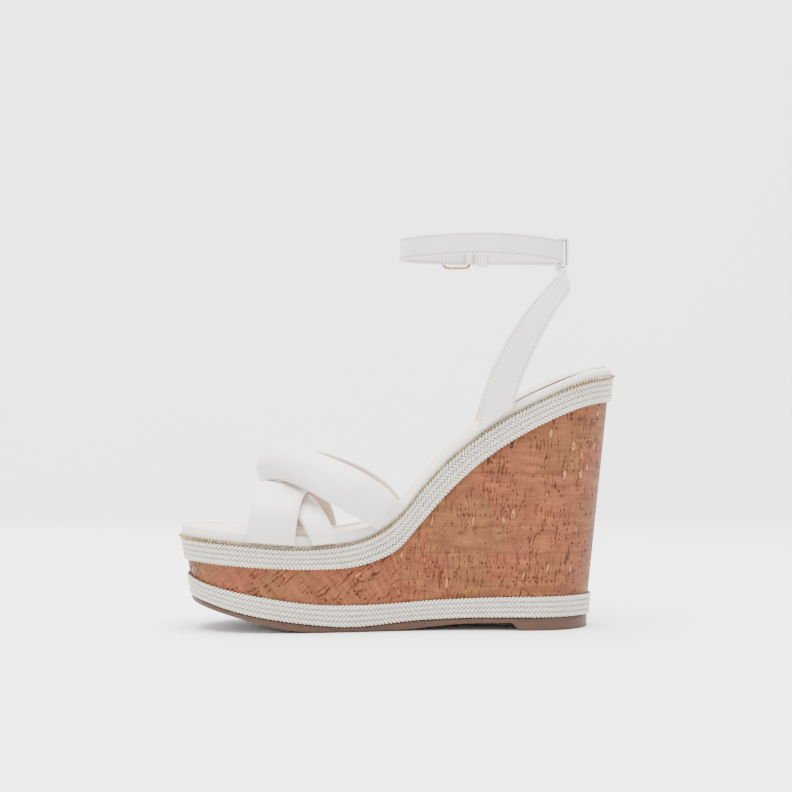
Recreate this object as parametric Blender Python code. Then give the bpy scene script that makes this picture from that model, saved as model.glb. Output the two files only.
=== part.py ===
"""Wedge sandal, right shoe: cork-wrapped platform wedge, braided edges, knotted toe straps, ankle strap.

Metres, +Z up. The toe points to -X and the heel to +X, the big-toe side is -Y and the little-toe
side, with the buckle, is +Y. The origin is on the floor under the middle of the sandal.
"""
import math

import bmesh
import bpy
from mathutils import Matrix, Vector

MM = 0.001
GAP = 0.3

# ---- driving sizes, in millimetres --------------------------------------------------------------
CORK_TOE_X = -109.2          # front of the cork where it meets the lower braid
CORK_TOE_LEAN = 0.15         # forward lean of the toe, per unit of height
CORK_HEEL_X = 101.7          # back of the cork at its foot
CORK_HEEL_LEAN = 0.104       # backward lean of the heel, per unit of height
CORK_FOOT_Z = 17.7
SIDE_TAPER = 0.02            # each side comes in by this much per unit of depth below the footbed
TOE_ROUND = 46.0             # length over which the toe end rounds off
HEEL_ROUND = 33.0
STATIONS = 31                # cross-sections from toe to heel

BRAID_PROUD = 2.0            # how far the braids stand out from the cork
VENEER = 1.0
CORE_INSET = VENEER + GAP
RIM_OUT = 0.6
RIM_IN = -2.6
BED_INSET = RIM_IN - GAP
BEAD_RADIUS = 0.9
BEAD_OUT = 1.8

PANEL_JOINT_TOP = -1.4       # x of the slanted joint between the cork panels, at its top and foot
PANEL_JOINT_FOOT = 3.4

STRAP_THICK = 1.8
ANKLE_WIDTH = 12.0
ANKLE_Z = 200.6
ANKLE_MIDDLE_X = 45.3
ANKLE_HALF_LENGTH = 42.9
ANKLE_HALF_WIDTH = 28.3
LOOP_WIDTH = 11.0
BAR_X = 40.0                 # hinge bar of the buckle
BAR_Y = 28.2
BAR_RADIUS = 0.9
HOOK_RADIUS = 1.75           # middle of the leather folded round the bar
FRAME_FRONT_X = 25.4
FRAME_FRONT_Y = 29.4
FRAME_HEIGHT = 15.6          # between the middles of the frame's side wires
KEEPER_X = (44.5, 49.5)
HOLES_X = (18.5, 25.0, 31.0, 37.0, 55.0)
PRONG_HOLE = 3
BASE_ABOVE_BEAD = 1.4
STRAP_OUT = 1.9              # how far the toe straps' linings stand outside the cork
ANKLE_REAR_DROP = 1.6        # the ankle strap sags this much at the back
ANKLE_NEAR_RISE = 1.6        # and bows up this much in the middle of its near side
FAR_LEG_BACK = 2.2           # the heel strap's far leg stands this much further back
FAR_LEG_RUN = 20.0           # it gets there over this much of its height
SHOULDER_AT = 0.40           # share of the way over the foot where the over strap is drawn up
SHOULDER_SPREAD = 0.13
KNOT_PUFF = 3.0              # crown of the knot band at its legs
KNOT_ROLL = 7.5              # extra crown in its middle, where it rolls forward
HEEL_LEAN_AT = (50.5, 0, 110)            # hinge line where the heel strap's legs bend
ANKLE_TILT_AT = (88.2, 0, ANKLE_Z)       # where the ankle strap turns in the back loop
SCREWS = [(66.0, 0.0), (84.0, -9.0), (84.0, 9.0)]
SCREW_RADIUS = 1.6
SCREW_LENGTH = 20.0
HOLE_RADIUS = 2.0            # clearance holes for the screws and the rivets
SHANK_FRONT = -34.0
SHANK_REAR = 64.0
SHANK_HALF_WIDTH = 6.0
SHANK_THICK = 1.0
RIVETS = (("shank_rivet_front", -20.0), ("shank_rivet_rear", 54.0))
RIVET_LENGTH = 2.8
SOCK_THICK = 1.3
LINING_TOP = 0.8             # a padded strap's plies, as heights above its inner face
FOAM_FOOT, FOAM_TOP = 1.1, 1.5
COVER_FOOT, COVER_TOP = 1.9, 2.9
TOE_PUFF = 0.9               # crown of the two toe straps
FRAME_CORNER = 2.4           # corner radius of the buckle's frame
PRONG_RADIUS = 0.7

# ---- side profile of the sole: x, z ---------------------------------------------------------------
FOOT_LINE = [(-118, 49.2), (-85, 46.9), (-56, 44.3), (-31, 45.4), (-13, 49.8), (2, 60), (18, 80),
             (35, 96), (60, 112.8), (85, 125), (100, 130.3), (118, 133.4)]
CORK_TOP_LINE = [(-118, 37.8), (-86, 35.4), (-56, 33.6), (-31, 33.6), (-15, 36), (2, 44.5),
                 (18, 63), (35, 80.8), (52, 94.3), (72, 106.3), (97, 117), (118, 120.6)]
CORK_FOOT_LINE = [(-118, 31.6), (-99, 24.8), (-73, 19.2), (-44, 14.8), (-11, 14.1), (22, 16.1),
                  (60, 17.5), (118, 17.7)]
OUTSOLE_TOP_LINE = [(-118, 21.5), (-103, 16.4), (-77, 9.4), (-48, 4.6), (-23, 2.6), (10, 5.4),
                    (43, 6.7), (118, 6.7)]
OUTSOLE_FOOT_LINE = [(-118, 19), (-103, 13.6), (-77, 6.5), (-56, 1.4), (-34, 0), (-12, 0),
                     (10, 1.2), (31, 3.4), (50, 3.9), (118, 3.9)]
HEEL_BLOCK_X = 60.0
HEEL_BLOCK_CHAMFER = 3.9
OUTSOLE_OUT = 0.6            # the outsole stands out from the cork less than the braid does
OUTSOLE_DRAFT = 0.3

# ---- plan of the sole: x, half-width, centre ------------------------------------------------------
HALF_WIDTH = [(-118, 37), (-85, 38.2), (-50, 39.6), (-25, 36.6), (5, 30.4), (35, 28), (70, 29),
              (118, 29.5)]
CENTRE = [(-118, -7.4), (-85, -3.4), (-50, 0.8), (-20, 2.0), (15, 1.2), (50, 0.2), (118, 0)]


def smooth(points, x):
    """Height of the smooth curve through points (x, value), as a Catmull-Rom spline in x."""
    last = len(points) - 1
    if x <= points[0][0]:
        return points[0][1]
    if x >= points[last][0]:
        return points[last][1]
    index = max(i for i in range(last) if points[i][0] <= x)
    (x1, y1), (x2, y2) = points[index], points[index + 1]
    x0, y0 = points[max(index - 1, 0)]
    x3, y3 = points[min(index + 2, last)]
    slope1 = (y2 - y0) / (x2 - x0)
    slope2 = (y3 - y1) / (x3 - x1)
    span = x2 - x1
    t = (x - x1) / span
    return ((2 * t**3 - 3 * t**2 + 1) * y1 + (t**3 - 2 * t**2 + t) * span * slope1
            + (3 * t**2 - 2 * t**3) * y2 + (t**3 - t**2) * span * slope2)


def foot_z(x):
    return smooth(FOOT_LINE, x)


def rim_top(x):
    """Top of the leather rim: a little higher over the braid at the toe than at the heel."""
    return foot_z(x) + smooth([(-118, 6.3), (-60, 5.8), (60, 5.2), (118, 4.4)], x)


def sock_top(x):
    """Top of the sock lining: just under the rim in front, and padded above it at the heel."""
    return rim_top(x) + smooth([(-118, -0.6), (0, -0.6), (40, 1.0), (80, 2.2), (118, 1.6)], x)


def line(points, shift=0.0):
    return lambda x: smooth(points, x) + shift


def ends(height, grow):
    """Toe and heel ends of one surface line of the sole, grown outwards."""
    toe = CORK_TOE_X - CORK_TOE_LEAN * (height(CORK_TOE_X) - 28.0) - grow
    heel = CORK_HEEL_X + CORK_HEEL_LEAN * (height(CORK_HEEL_X) - CORK_FOOT_Z) + grow
    return toe, heel


def outline_at(x, height, grow):
    """Where the sole's near and far sides are at x, and the height there, for one surface line."""
    toe, heel = ends(height, grow)
    z = height(x)
    half = smooth(HALF_WIDTH, x) - SIDE_TAPER * max(foot_z(x) - z, 0.0) + grow
    to_toe = min((x - toe + 0.45) / (TOE_ROUND + grow), 1.0)
    to_heel = min((heel + 0.35 - x) / (HEEL_ROUND + grow), 1.0)
    half *= (1.0 - (1.0 - to_toe) ** 2.3) ** (1 / 2.1)
    half *= math.sqrt(1.0 - (1.0 - to_heel) ** 2)
    centre = smooth(CENTRE, x)
    return x, centre - half, centre + half, z


def outline(t, height, grow):
    """The same at station t, 0 at the toe and 1 at the heel; stations are closer at the ends."""
    toe, heel = ends(height, grow)
    return outline_at(toe + (heel - toe) * (t - 0.115 * math.sin(2 * math.pi * t)), height, grow)


# ---- mesh helpers ---------------------------------------------------------------------------------
def clear_scene():
    for thing in list(bpy.data.objects):
        bpy.data.objects.remove(thing, do_unlink=True)


def new_collection(name):
    group = bpy.data.collections.new(name)
    bpy.context.scene.collection.children.link(group)
    return group


def material(name, colour, roughness, metallic=0.0):
    mat = bpy.data.materials.new(name)
    mat.use_nodes = True
    shader = mat.node_tree.nodes["Principled BSDF"]
    shader.inputs["Base Color"].default_value = (*colour, 1.0)
    shader.inputs["Roughness"].default_value = roughness
    shader.inputs["Metallic"].default_value = metallic
    mat.diffuse_color = (*colour, 1.0)
    return mat


def finish_mesh(name, bm, mat, group, smooth_angle=35.0):
    bmesh.ops.recalc_face_normals(bm, faces=bm.faces)
    mesh = bpy.data.meshes.new(name)
    bm.to_mesh(mesh)
    bm.free()
    mesh.shade_smooth()
    mesh.set_sharp_from_angle(angle=math.radians(smooth_angle))
    mesh.materials.append(mat)
    obj = bpy.data.objects.new(name, mesh)
    group.objects.link(obj)
    return obj


def loft(name, sections, mat, group, closed=False):
    """Joins sections, each a ring of points in millimetres, into one closed body."""
    bm = bmesh.new()
    rings = [[bm.verts.new(Vector(point) * MM) for point in section] for section in sections]
    pairs = list(zip(rings, rings[1:]))
    if closed:
        pairs.append((rings[-1], rings[0]))
    for ring, following in pairs:
        count = len(ring)
        for corner in range(count):
            after = (corner + 1) % count
            bm.faces.new((ring[corner], ring[after], following[after], following[corner]))
    if not closed:
        bm.faces.new(rings[0])
        bm.faces.new(rings[-1])
    return finish_mesh(name, bm, mat, group)


def stations(count=STATIONS):
    return [index / (count - 1) for index in range(count)]


def slab(name, top, foot, grow_top, grow_foot, mat, group, count=STATIONS):
    """A full-width layer of the sole between two surface lines."""
    sections = []
    for t in stations(count):
        x_top, near_top, far_top, z_top = outline(t, top, grow_top)
        x_foot, near_foot, far_foot, z_foot = outline(t, foot, grow_foot)
        sections.append([(x_top, near_top, z_top), (x_top, far_top, z_top),
                         (x_foot, far_foot, z_foot), (x_foot, near_foot, z_foot)])
    return loft(name, sections, mat, group)


def perimeter(height, grow, count=STATIONS):
    """Points round the sole on one surface line: near side from toe to heel, then the far side back."""
    rows = [outline(t, height, grow) for t in stations(count)]
    near = [Vector((x, y_near, z)) for x, y_near, _, z in rows]
    far = [Vector((x, y_far, z)) for x, _, y_far, z in rows]
    return near + far[::-1]


def band_sections(top, foot, outer, inner):
    outer_top, outer_foot = perimeter(top, outer), perimeter(foot, outer)
    inner_top, inner_foot = perimeter(top, inner), perimeter(foot, inner)
    return [list(corners) for corners in zip(outer_top, outer_foot, inner_foot, inner_top)]


def band(name, top, foot, outer, inner, mat, group):
    """A ring of even thickness round the sole between two surface lines."""
    return loft(name, band_sections(top, foot, outer, inner), mat, group, closed=True)


def cylinder(name, radius, length, place, mat, group, axis=(0, 0, 1), sides=16):
    bm = bmesh.new()
    bmesh.ops.create_cone(bm, cap_ends=True, segments=sides, radius1=radius * MM,
                          radius2=radius * MM, depth=length * MM)
    turn = Vector((0, 0, 1)).rotation_difference(Vector(axis)).to_matrix()
    bmesh.ops.rotate(bm, verts=bm.verts, cent=(0, 0, 0), matrix=turn)
    bmesh.ops.translate(bm, verts=bm.verts, vec=Vector(place) * MM)
    return finish_mesh(name, bm, mat, group)


def cut(obj, cutters):
    """Takes each cutter out of obj and keeps the result as its mesh."""
    for cutter in cutters:
        cutter.hide_render = True
        cutter.display_type = "WIRE"
        modifier = obj.modifiers.new("cut", "BOOLEAN")
        modifier.operation = "DIFFERENCE"
        modifier.object = cutter
    return obj


# ---- sole unit -------------------------------------------------------------------------------------
def make_outsole(mats, parts):
    """Thin moulded sole with the heel block as a step in its underside."""
    top, foot = line(OUTSOLE_TOP_LINE), line(OUTSOLE_FOOT_LINE)

    def underside(x):
        step_down = min(max((x - HEEL_BLOCK_X) / HEEL_BLOCK_CHAMFER, 0.0), 1.0)
        return max(foot(x), 0.0) * (1.0 - step_down)

    places = [outline(t, top, OUTSOLE_OUT)[0] for t in stations()]
    places = [x for x in places if abs(x - HEEL_BLOCK_X - HEEL_BLOCK_CHAMFER / 2) > 5.0]
    places += [HEEL_BLOCK_X, HEEL_BLOCK_X + HEEL_BLOCK_CHAMFER]
    sections = []
    for x in sorted(places):
        _, near, far, z = outline_at(x, top, OUTSOLE_OUT)
        low = underside(x)
        sections.append([(x, near, z), (x, far, z), (x, far - OUTSOLE_DRAFT, low),
                         (x, near + OUTSOLE_DRAFT, low)])
    return loft("outsole", sections, mats["outsole"], parts)


def make_core(mats, parts, cutters):
    core = slab("wedge_core", line(FOOT_LINE, -2.6), line(OUTSOLE_TOP_LINE, GAP), -CORE_INSET,
                -CORE_INSET, mats["core"], parts)
    tools = []
    for number, (x, y) in enumerate(SCREWS):
        z = foot_z(x)
        tools.append(cylinder(f"cut_screw_{number}", HOLE_RADIUS, SCREW_LENGTH + 4, (x, y, z - 12.0),
                              mats["core"], cutters, sides=12))
    return cut(core, tools)


def make_cork(mats, parts):
    """Two veneer panels that butt on a slanted joint at the waist, on both sides."""
    top, foot = line(FOOT_LINE, -1.9), line(OUTSOLE_TOP_LINE, GAP)

    def corners(x_top, x_foot, side):
        """Outer top, outer foot, inner foot and inner top of the veneer on one side (1 near, 2 far)."""
        section = []
        for height, x, grow in ((top, x_top, 0.0), (foot, x_foot, 0.0), (foot, x_foot, -VENEER),
                                (top, x_top, -VENEER)):
            row = outline_at(x, height, grow)
            section.append((row[0], row[side], row[3]))
        return section

    def joint_corners(side, shift):
        x_top, x_foot = PANEL_JOINT_TOP + shift, PANEL_JOINT_FOOT + shift
        return corners(x_top, x_foot, side)

    rings = band_sections(top, foot, 0.0, -VENEER)
    half = len(rings) // 2
    near, far = rings[:half], rings[half:][::-1]

    def before(side):
        return [section for section in side if section[0][0] < PANEL_JOINT_TOP - 3]

    def after(side):
        return [section for section in side if section[1][0] > PANEL_JOINT_FOOT + 3]

    front = [joint_corners(1, -GAP / 2)] + before(near)[::-1] + before(far) + [joint_corners(2, -GAP / 2)]
    heel = [joint_corners(1, GAP / 2)] + after(near) + after(far)[::-1] + [joint_corners(2, GAP / 2)]
    loft("cork_panel_front", front, mats["cork"], parts)
    loft("cork_panel_heel", heel, mats["cork"], parts)


def make_braids(mats, parts):
    band("upper_braid", line(FOOT_LINE, -1.9), line(CORK_TOP_LINE), BRAID_PROUD, GAP,
         mats["braid"], parts)
    band("lower_braid", line(CORK_FOOT_LINE), line(OUTSOLE_TOP_LINE, GAP), BRAID_PROUD - 0.4, GAP,
         mats["braid"], parts)


def make_bead(mats, parts):
    """The metal cord: a six-sided tube that follows the top edge of the upper braid."""
    path = perimeter(line(FOOT_LINE, 0.0), BEAD_OUT)
    count = len(path)
    sections = []
    for index, point in enumerate(path):
        along = (path[(index + 1) % count] - path[index - 1]).normalized()
        side = along.cross(Vector((0, 0, 1))).normalized()
        up = side.cross(along)
        ring = []
        for corner in range(6):
            angle = math.radians(60 * corner)
            ring.append(point + (side * math.cos(angle) + up * math.sin(angle)) * BEAD_RADIUS)
        sections.append(ring)
    return loft("bead_trim", sections, mats["gold"], parts, closed=True)


def make_bed(mats, parts, cutters):
    """Rim, board, shank and its rivets, screws, foam and sock, from the core upwards."""
    band("rim_binding", rim_top, line(FOOT_LINE, -0.9), RIM_OUT, RIM_IN, mats["leather"], parts)
    board = slab("insole_board", line(FOOT_LINE, -0.3), line(FOOT_LINE, -2.3), BED_INSET, BED_INSET,
                 mats["board"], parts)
    foam_foot = line(FOOT_LINE, 1.9)
    slab("footbed_foam", lambda x: sock_top(x) - SOCK_THICK - GAP, foam_foot, BED_INSET - 0.4,
         BED_INSET - 0.4, mats["foam"], parts)
    slab("sock_lining", sock_top, lambda x: sock_top(x) - SOCK_THICK, BED_INSET, BED_INSET,
         mats["lining"], parts)

    board_x = [outline(t, line(FOOT_LINE, -0.3), BED_INSET)[0] for t in stations()]
    shank_x = [x for x in board_x if SHANK_FRONT < x < SHANK_REAR]
    sections = []
    for x in shank_x:
        base = foot_z(x)
        top = base + SHANK_THICK
        sections.append([(x, -SHANK_HALF_WIDTH, top), (x, SHANK_HALF_WIDTH, top),
                         (x, SHANK_HALF_WIDTH, base), (x, -SHANK_HALF_WIDTH, base)])
    shank = loft("shank", sections, mats["steel"], parts)

    tools = []
    shank_tools = []
    for name, x in RIVETS:
        z = foot_z(x)
        slope = (foot_z(x + 2) - foot_z(x - 2)) / 4
        axis = Vector((-slope, 0, 1)).normalized()
        cylinder(name, SCREW_RADIUS, RIVET_LENGTH, (x, 0, z + 0.05), mats["steel"], parts,
                 axis=axis, sides=12)
        tool = cylinder(f"cut_{name}", HOLE_RADIUS, 9.0, (x, 0, z - 0.45), mats["steel"], cutters,
                        axis=axis, sides=12)
        tools.append(tool)
        shank_tools.append(tool)
    for number, (x, y) in enumerate(SCREWS):
        z = foot_z(x)
        cylinder(f"heel_screw_{number + 1}", SCREW_RADIUS, SCREW_LENGTH, (x, y, z - 10.6),
                 mats["steel"], parts, sides=12)
        tools.append(cylinder(f"cut_board_{number}", HOLE_RADIUS, 14.0, (x, y, z - 3.0),
                              mats["steel"], cutters, sides=12))
    cut(board, tools)
    cut(shank, shank_tools)


# ---- toe straps ------------------------------------------------------------------------------------
def side_y(x, side, grow):
    """Y of the sole's side at x, just above the bead, on the near (-1) or far (+1) side."""
    toe = CORK_TOE_X - CORK_TOE_LEAN * (foot_z(CORK_TOE_X) - 28.0) - grow
    half = smooth(HALF_WIDTH, x) + grow
    to_toe = min((x - toe + 0.45) / (TOE_ROUND + grow), 1.0)
    half *= (1.0 - (1.0 - to_toe) ** 2.3) ** (1 / 2.1)
    return smooth(CENTRE, x) + side * half


def curve_through(points, count):
    """Evenly numbered points of a smooth curve through hand-placed points."""
    tracks = [[(index, point[axis]) for index, point in enumerate(points)] for axis in range(3)]
    last = len(points) - 1
    steps = [last * index / (count - 1) for index in range(count)]
    return [Vector([smooth(track, step) for track in tracks]) for step in steps]


def ply(name, front, rear, lift_in, lift_out, crown_in, crown_out, trim, mat, group, swell=None):
    """One ply of a strap between its two edge curves, raised from them along the outward normal.

    swell, if given, is how much the crowns gain at each section.
    """
    sections = []
    last = len(front) - 1
    hub = sum(front + rear, Vector()) / (2 * len(front))
    for index in range(len(front)):
        fore, back = front[index], rear[index]
        before, after = max(index - 1, 0), min(index + 1, last)
        along = (front[after] + rear[after]) - (front[before] + rear[before])
        normal = along.cross(back - fore).normalized()
        if normal.dot((fore + back) / 2 - hub - Vector((0, 0, -30.0))) < 0:
            normal.negate()
        inset = (back - fore).normalized() * trim
        fore, back = fore + inset, back - inset
        outer, inner = [], []
        for share in (0.0, 0.3, 0.7, 1.0):
            arch = 4 * share * (1 - share)
            gain = swell[index] if swell else 1.0
            spot = fore.lerp(back, share)
            outer.append(spot + normal * (lift_out + crown_out * gain * arch))
            inner.append(spot + normal * (lift_in + crown_in * gain * arch))
        sections.append(outer + inner[::-1])
    return loft(name, sections, mat, group)


def padded_strap(name, front, rear, puff, mats, parts, swell=None):
    """Lining, foam and cover of one padded strap; puff is how far its middle stands up."""
    ply(f"{name}_lining", front, rear, 0.0, LINING_TOP, 0.0, 0.0, 0.0, mats["lining"], parts)
    ply(f"{name}_foam", front, rear, FOAM_FOOT, FOAM_TOP, 0.0, puff, 1.5, mats["foam"], parts, swell)
    ply(f"{name}_cover", front, rear, COVER_FOOT, COVER_TOP, puff, puff, 0.0, mats["leather"], parts,
        swell)


def arch_edge(near_x, middle_x, far_x, crown, square, count, shoulder=0.0):
    """One edge of a toe strap: an arch over the foot from the near side to the far side.

    shoulder raises the arch on its near half, where the strap is drawn up into the knot.
    """
    points = []
    for step in range(count):
        s = step / (count - 1)
        x = smooth([(0, near_x), (0.5, middle_x), (1, far_x)], s)
        near_y, far_y = side_y(x, -1, STRAP_OUT), side_y(x, 1, STRAP_OUT)
        across = -math.copysign(abs(math.cos(math.pi * s)) ** square, math.cos(math.pi * s))
        rise = max(math.sin(math.pi * s), 0.0) ** square
        base = foot_z(x) + BASE_ABOVE_BEAD
        y = (near_y + far_y) / 2 + across * (far_y - near_y) / 2
        lift = shoulder * math.exp(-((s - SHOULDER_AT) / SHOULDER_SPREAD) ** 2)
        points.append(Vector((x, y, base + rise * (crown - base) + lift)))
    return points


def make_toe_straps(mats, parts):
    """Two straps that cross: each is wide at its front leg and narrow at its middle leg."""
    count = 19
    padded_strap("toe_strap_under", arch_edge(-43.5, -63, -77, 66.5, 0.80, count),
                 arch_edge(-31, -46, -53, 66.5, 0.80, count), TOE_PUFF, mats, parts)
    padded_strap("toe_strap_over", arch_edge(-77, -69, -46, 71.6, 0.60, count, shoulder=2.6),
                 arch_edge(-53, -46, -33.5, 71.6, 0.60, count), TOE_PUFF, mats, parts)


def mirror_over(points):
    """A half list from the near side to the middle, and its mirror image, whose foot is further back."""
    foot = points[0][2]
    far = []
    for x, y, z in points[-2::-1]:
        grown = min((z - foot) / FAR_LEG_RUN, 1.0) * min(-y / FAR_LEG_RUN, 1.0)
        far.append((x + FAR_LEG_BACK * grown, -y, z))
    return points + far


def over_foot(half):
    """Points of a band's edge from the near side to the far side.

    Each point of the half list is its x, its share of the way from the middle out to the sole's
    side, and its height; the far half repeats the near half.
    """
    near = [(x, smooth(CENTRE, x) * (1 - share) + side_y(x, -1, STRAP_OUT) * share, z)
            for x, share, z in half]
    far = [(x, smooth(CENTRE, x) * (1 - share) + side_y(x, 1, STRAP_OUT) * share, z)
           for x, share, z in half]
    return near + far[-2::-1]


def make_knot_band(mats, parts):
    """The wide band over both toe straps: up from the waist, round the front and down again."""
    front = over_foot([(-10, 1.0, 53.2), (-21, 1.0, 59.8), (-36, 0.92, 67.6), (-48, 0.73, 73.8),
                       (-60, 0.50, 77.6), (-69, 0.26, 76.8), (-72, 0.0, 75.6)])
    rear = over_foot([(3.0, 1.0, 63.6), (-5, 0.97, 73.2), (-16, 0.87, 80.6), (-28, 0.66, 86.2),
                      (-39, 0.44, 90.0), (-46.5, 0.21, 91.8), (-49, 0.0, 92.0)])
    count = 21
    middle = (count - 1) / 2
    roll = [1 + KNOT_ROLL / KNOT_PUFF * math.exp(-(((index - middle) / middle) / 0.42) ** 2)
            for index in range(count)]
    padded_strap("knot_band", curve_through(front, count), curve_through(rear, count), KNOT_PUFF,
                 mats, parts, roll)


# ---- heel strap and ankle strap -------------------------------------------------------------------
def make_heel_strap(mats, parts, cutters):
    """One strap from the near side of the wedge round the back of the ankle to the far side."""
    fore = mirror_over([(41, -29.4, 103.4), (45.2, -29.8, 124), (51.8, -29.4, 142),
                        (62.8, -28.4, 161), (74, -25.5, 176), (82.6, -18.5, 185.4),
                        (86.8, -9, 189.2), (88, 0, 190)])
    back = mirror_over([(60, -29.8, 116.4), (64, -30.2, 128), (68.4, -29.8, 139),
                        (75.6, -28.4, 154), (82.6, -25, 166.4), (88, -17, 174.6),
                        (90.2, -8, 177.6), (90.6, 0, 178.2)])
    count = 25
    front, rear = curve_through(fore, count), curve_through(back, count)
    lining = ply("heel_strap_lining", front, rear, 0.0, 0.7, 0.0, 0.0, 0.0, mats["lining"], parts)
    strap = ply("heel_strap", front, rear, 1.15, 2.25, 0.0, 0.0, 0.0, mats["leather"], parts)

    upper = [(91.3, 194.2), (91.3, 207.0), (90.5, 208.3), (85.2, 208.3), (84.5, 207.4), (84.5, 193.2)]
    tail = [(85.7, 190.0), (88.0, 178.6), (89.1, 178.6), (86.8, 190.9), (90.0, 191.2)]
    outline_points = [(x, z - ANKLE_REAR_DROP) for x, z in upper] + tail
    loop = prism("back_loop", outline_points, LOOP_WIDTH, mats["leather"], parts)
    slot = [(x, z - ANKLE_REAR_DROP) for x, z in
            ((90.4, 193.8), (90.4, 207.3), (85.4, 207.3), (85.4, 193.8))]
    cut(loop, [prism("cut_loop", slot, LOOP_WIDTH + 4, mats["leather"], cutters)])
    for piece in (lining, strap, loop):
        set_origin(piece, HEEL_LEAN_AT)


def prism(name, points, width, mat, group):
    """An outline in the XZ plane, extruded across the sandal's middle."""
    bm = bmesh.new()
    verts = [bm.verts.new(Vector((x, -width / 2, z)) * MM) for x, z in points]
    face = bm.faces.new(verts)
    grown = bmesh.ops.extrude_face_region(bm, geom=[face])
    moved = [item for item in grown["geom"] if isinstance(item, bmesh.types.BMVert)]
    bmesh.ops.translate(bm, verts=moved, vec=(0, width * MM, 0))
    return finish_mesh(name, bm, mat, group)


def ankle_point(angle, lift=0.0):
    """Centre line of the ankle strap in plan: a squared oval round the leg, lift outwards."""
    cosine, sine = math.cos(angle), math.sin(angle)
    power = 2 / 2.3
    x = ANKLE_MIDDLE_X + (ANKLE_HALF_LENGTH + lift) * math.copysign(abs(cosine) ** power, cosine)
    y = (ANKLE_HALF_WIDTH + lift) * math.copysign(abs(sine) ** power, sine)
    from_middle = min(abs(x - ANKLE_MIDDLE_X) / ANKLE_HALF_LENGTH, 1.0) ** 2
    rise = ANKLE_NEAR_RISE * max(-y / ANKLE_HALF_WIDTH, 0.0) * (1 - from_middle)
    drop = ANKLE_REAR_DROP * from_middle if x > ANKLE_MIDDLE_X else 0.0
    return Vector((x, y, ANKLE_Z + rise - drop))


def ribbon(name, path, thicks, width, mat, group):
    """Upright flat strip along a plan path, with its own thickness at each point."""
    sections = []
    last = len(path) - 1
    for index, point in enumerate(path):
        along = (path[min(index + 1, last)] - path[max(index - 1, 0)]).normalized()
        side = Vector((0, 0, 1)).cross(along).normalized() * thicks[index] / 2
        up = Vector((0, 0, width / 2))
        sections.append([point - side - up, point + side - up, point + side + up, point - side + up])
    return loft(name, sections, mat, group)


def make_ankle_strap(mats, parts, cutters):
    """One strip: hooked round the buckle's bar, round the leg, and back through the buckle."""
    bar = Vector((BAR_X, BAR_Y, ANKLE_Z))
    path, thicks = [], []
    for degrees in range(-40, -300, -26):
        angle = math.radians(degrees)
        path.append(bar + Vector((math.cos(angle), math.sin(angle), 0)) * HOOK_RADIUS)
        thicks.append(0.9)
    path += [Vector((BAR_X + 2.2, BAR_Y + 1.0, ANKLE_Z)), Vector((BAR_X + 4.2, BAR_Y + 0.3, ANKLE_Z))]
    thicks += [1.1, 1.6]
    turns = 36
    first, final = math.radians(80), math.radians(-297)
    for step in range(turns + 1):
        angle = first + (final - first) * step / turns
        lift = smooth([(-400, 2.5), (-275, 2.5), (-262, 3.4), (-243, 0.8), (-228, 0), (400, 0)],
                      math.degrees(angle))
        path.append(ankle_point(angle, lift))
        thicks.append(STRAP_THICK)
    strap = ribbon("ankle_strap", path, thicks, ANKLE_WIDTH, mats["leather"], parts)

    notch = block("cut_notch", (BAR_X - 3.0, BAR_Y - 3.0, ANKLE_Z - 1.8),
                  (BAR_X + 2.3, BAR_Y + 2.35, ANKLE_Z + 1.8), mats["leather"], cutters)
    holes = [notch]
    for number, x in enumerate(HOLES_X):
        radius = 1.9 if number == PRONG_HOLE else 1.2
        holes.append(cylinder(f"cut_hole_{number}", radius, 8.0, (x, hole_y(x), ANKLE_Z),
                              mats["leather"], cutters, axis=(0.2, 1, 0), sides=12))
    cut(strap, holes)
    set_origin(strap, ANKLE_TILT_AT)


def hole_y(x):
    """Roughly the free end's Y at x, on the buckle side."""
    return smooth([(14, 22.5), (26, 26.8), (38, 31.2), (60, 30.6)], x)


def block(name, low, high, mat, group):
    """A box between two corners."""
    bm = bmesh.new()
    bmesh.ops.create_cube(bm, size=1.0)
    low, high = Vector(low) * MM, Vector(high) * MM
    bmesh.ops.scale(bm, verts=bm.verts, vec=high - low)
    bmesh.ops.translate(bm, verts=bm.verts, vec=(low + high) / 2)
    return finish_mesh(name, bm, mat, group)


def tube(name, path, radius, sides, mat, group, closed=False):
    """A round wire along a path."""
    sections = []
    count = len(path)
    for index, point in enumerate(path):
        before = path[index - 1] if index or closed else point
        after = path[(index + 1) % count] if index < count - 1 or closed else point
        along = (after - before).normalized()
        side = along.cross(Vector((0.0, 1.0, 0.0))).normalized()
        up = side.cross(along)
        ring = []
        for corner in range(sides):
            angle = 2 * math.pi * (corner + 0.5) / sides
            ring.append(point + (side * math.cos(angle) + up * math.sin(angle)) * radius)
        sections.append(ring)
    return loft(name, sections, mat, group, closed=closed)


def set_origin(obj, place):
    """Moves an object's origin to its joint, leaving its mesh where it is."""
    shift = Vector(place) * MM
    obj.data.transform(Matrix.Translation(-shift))
    obj.location = shift


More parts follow.
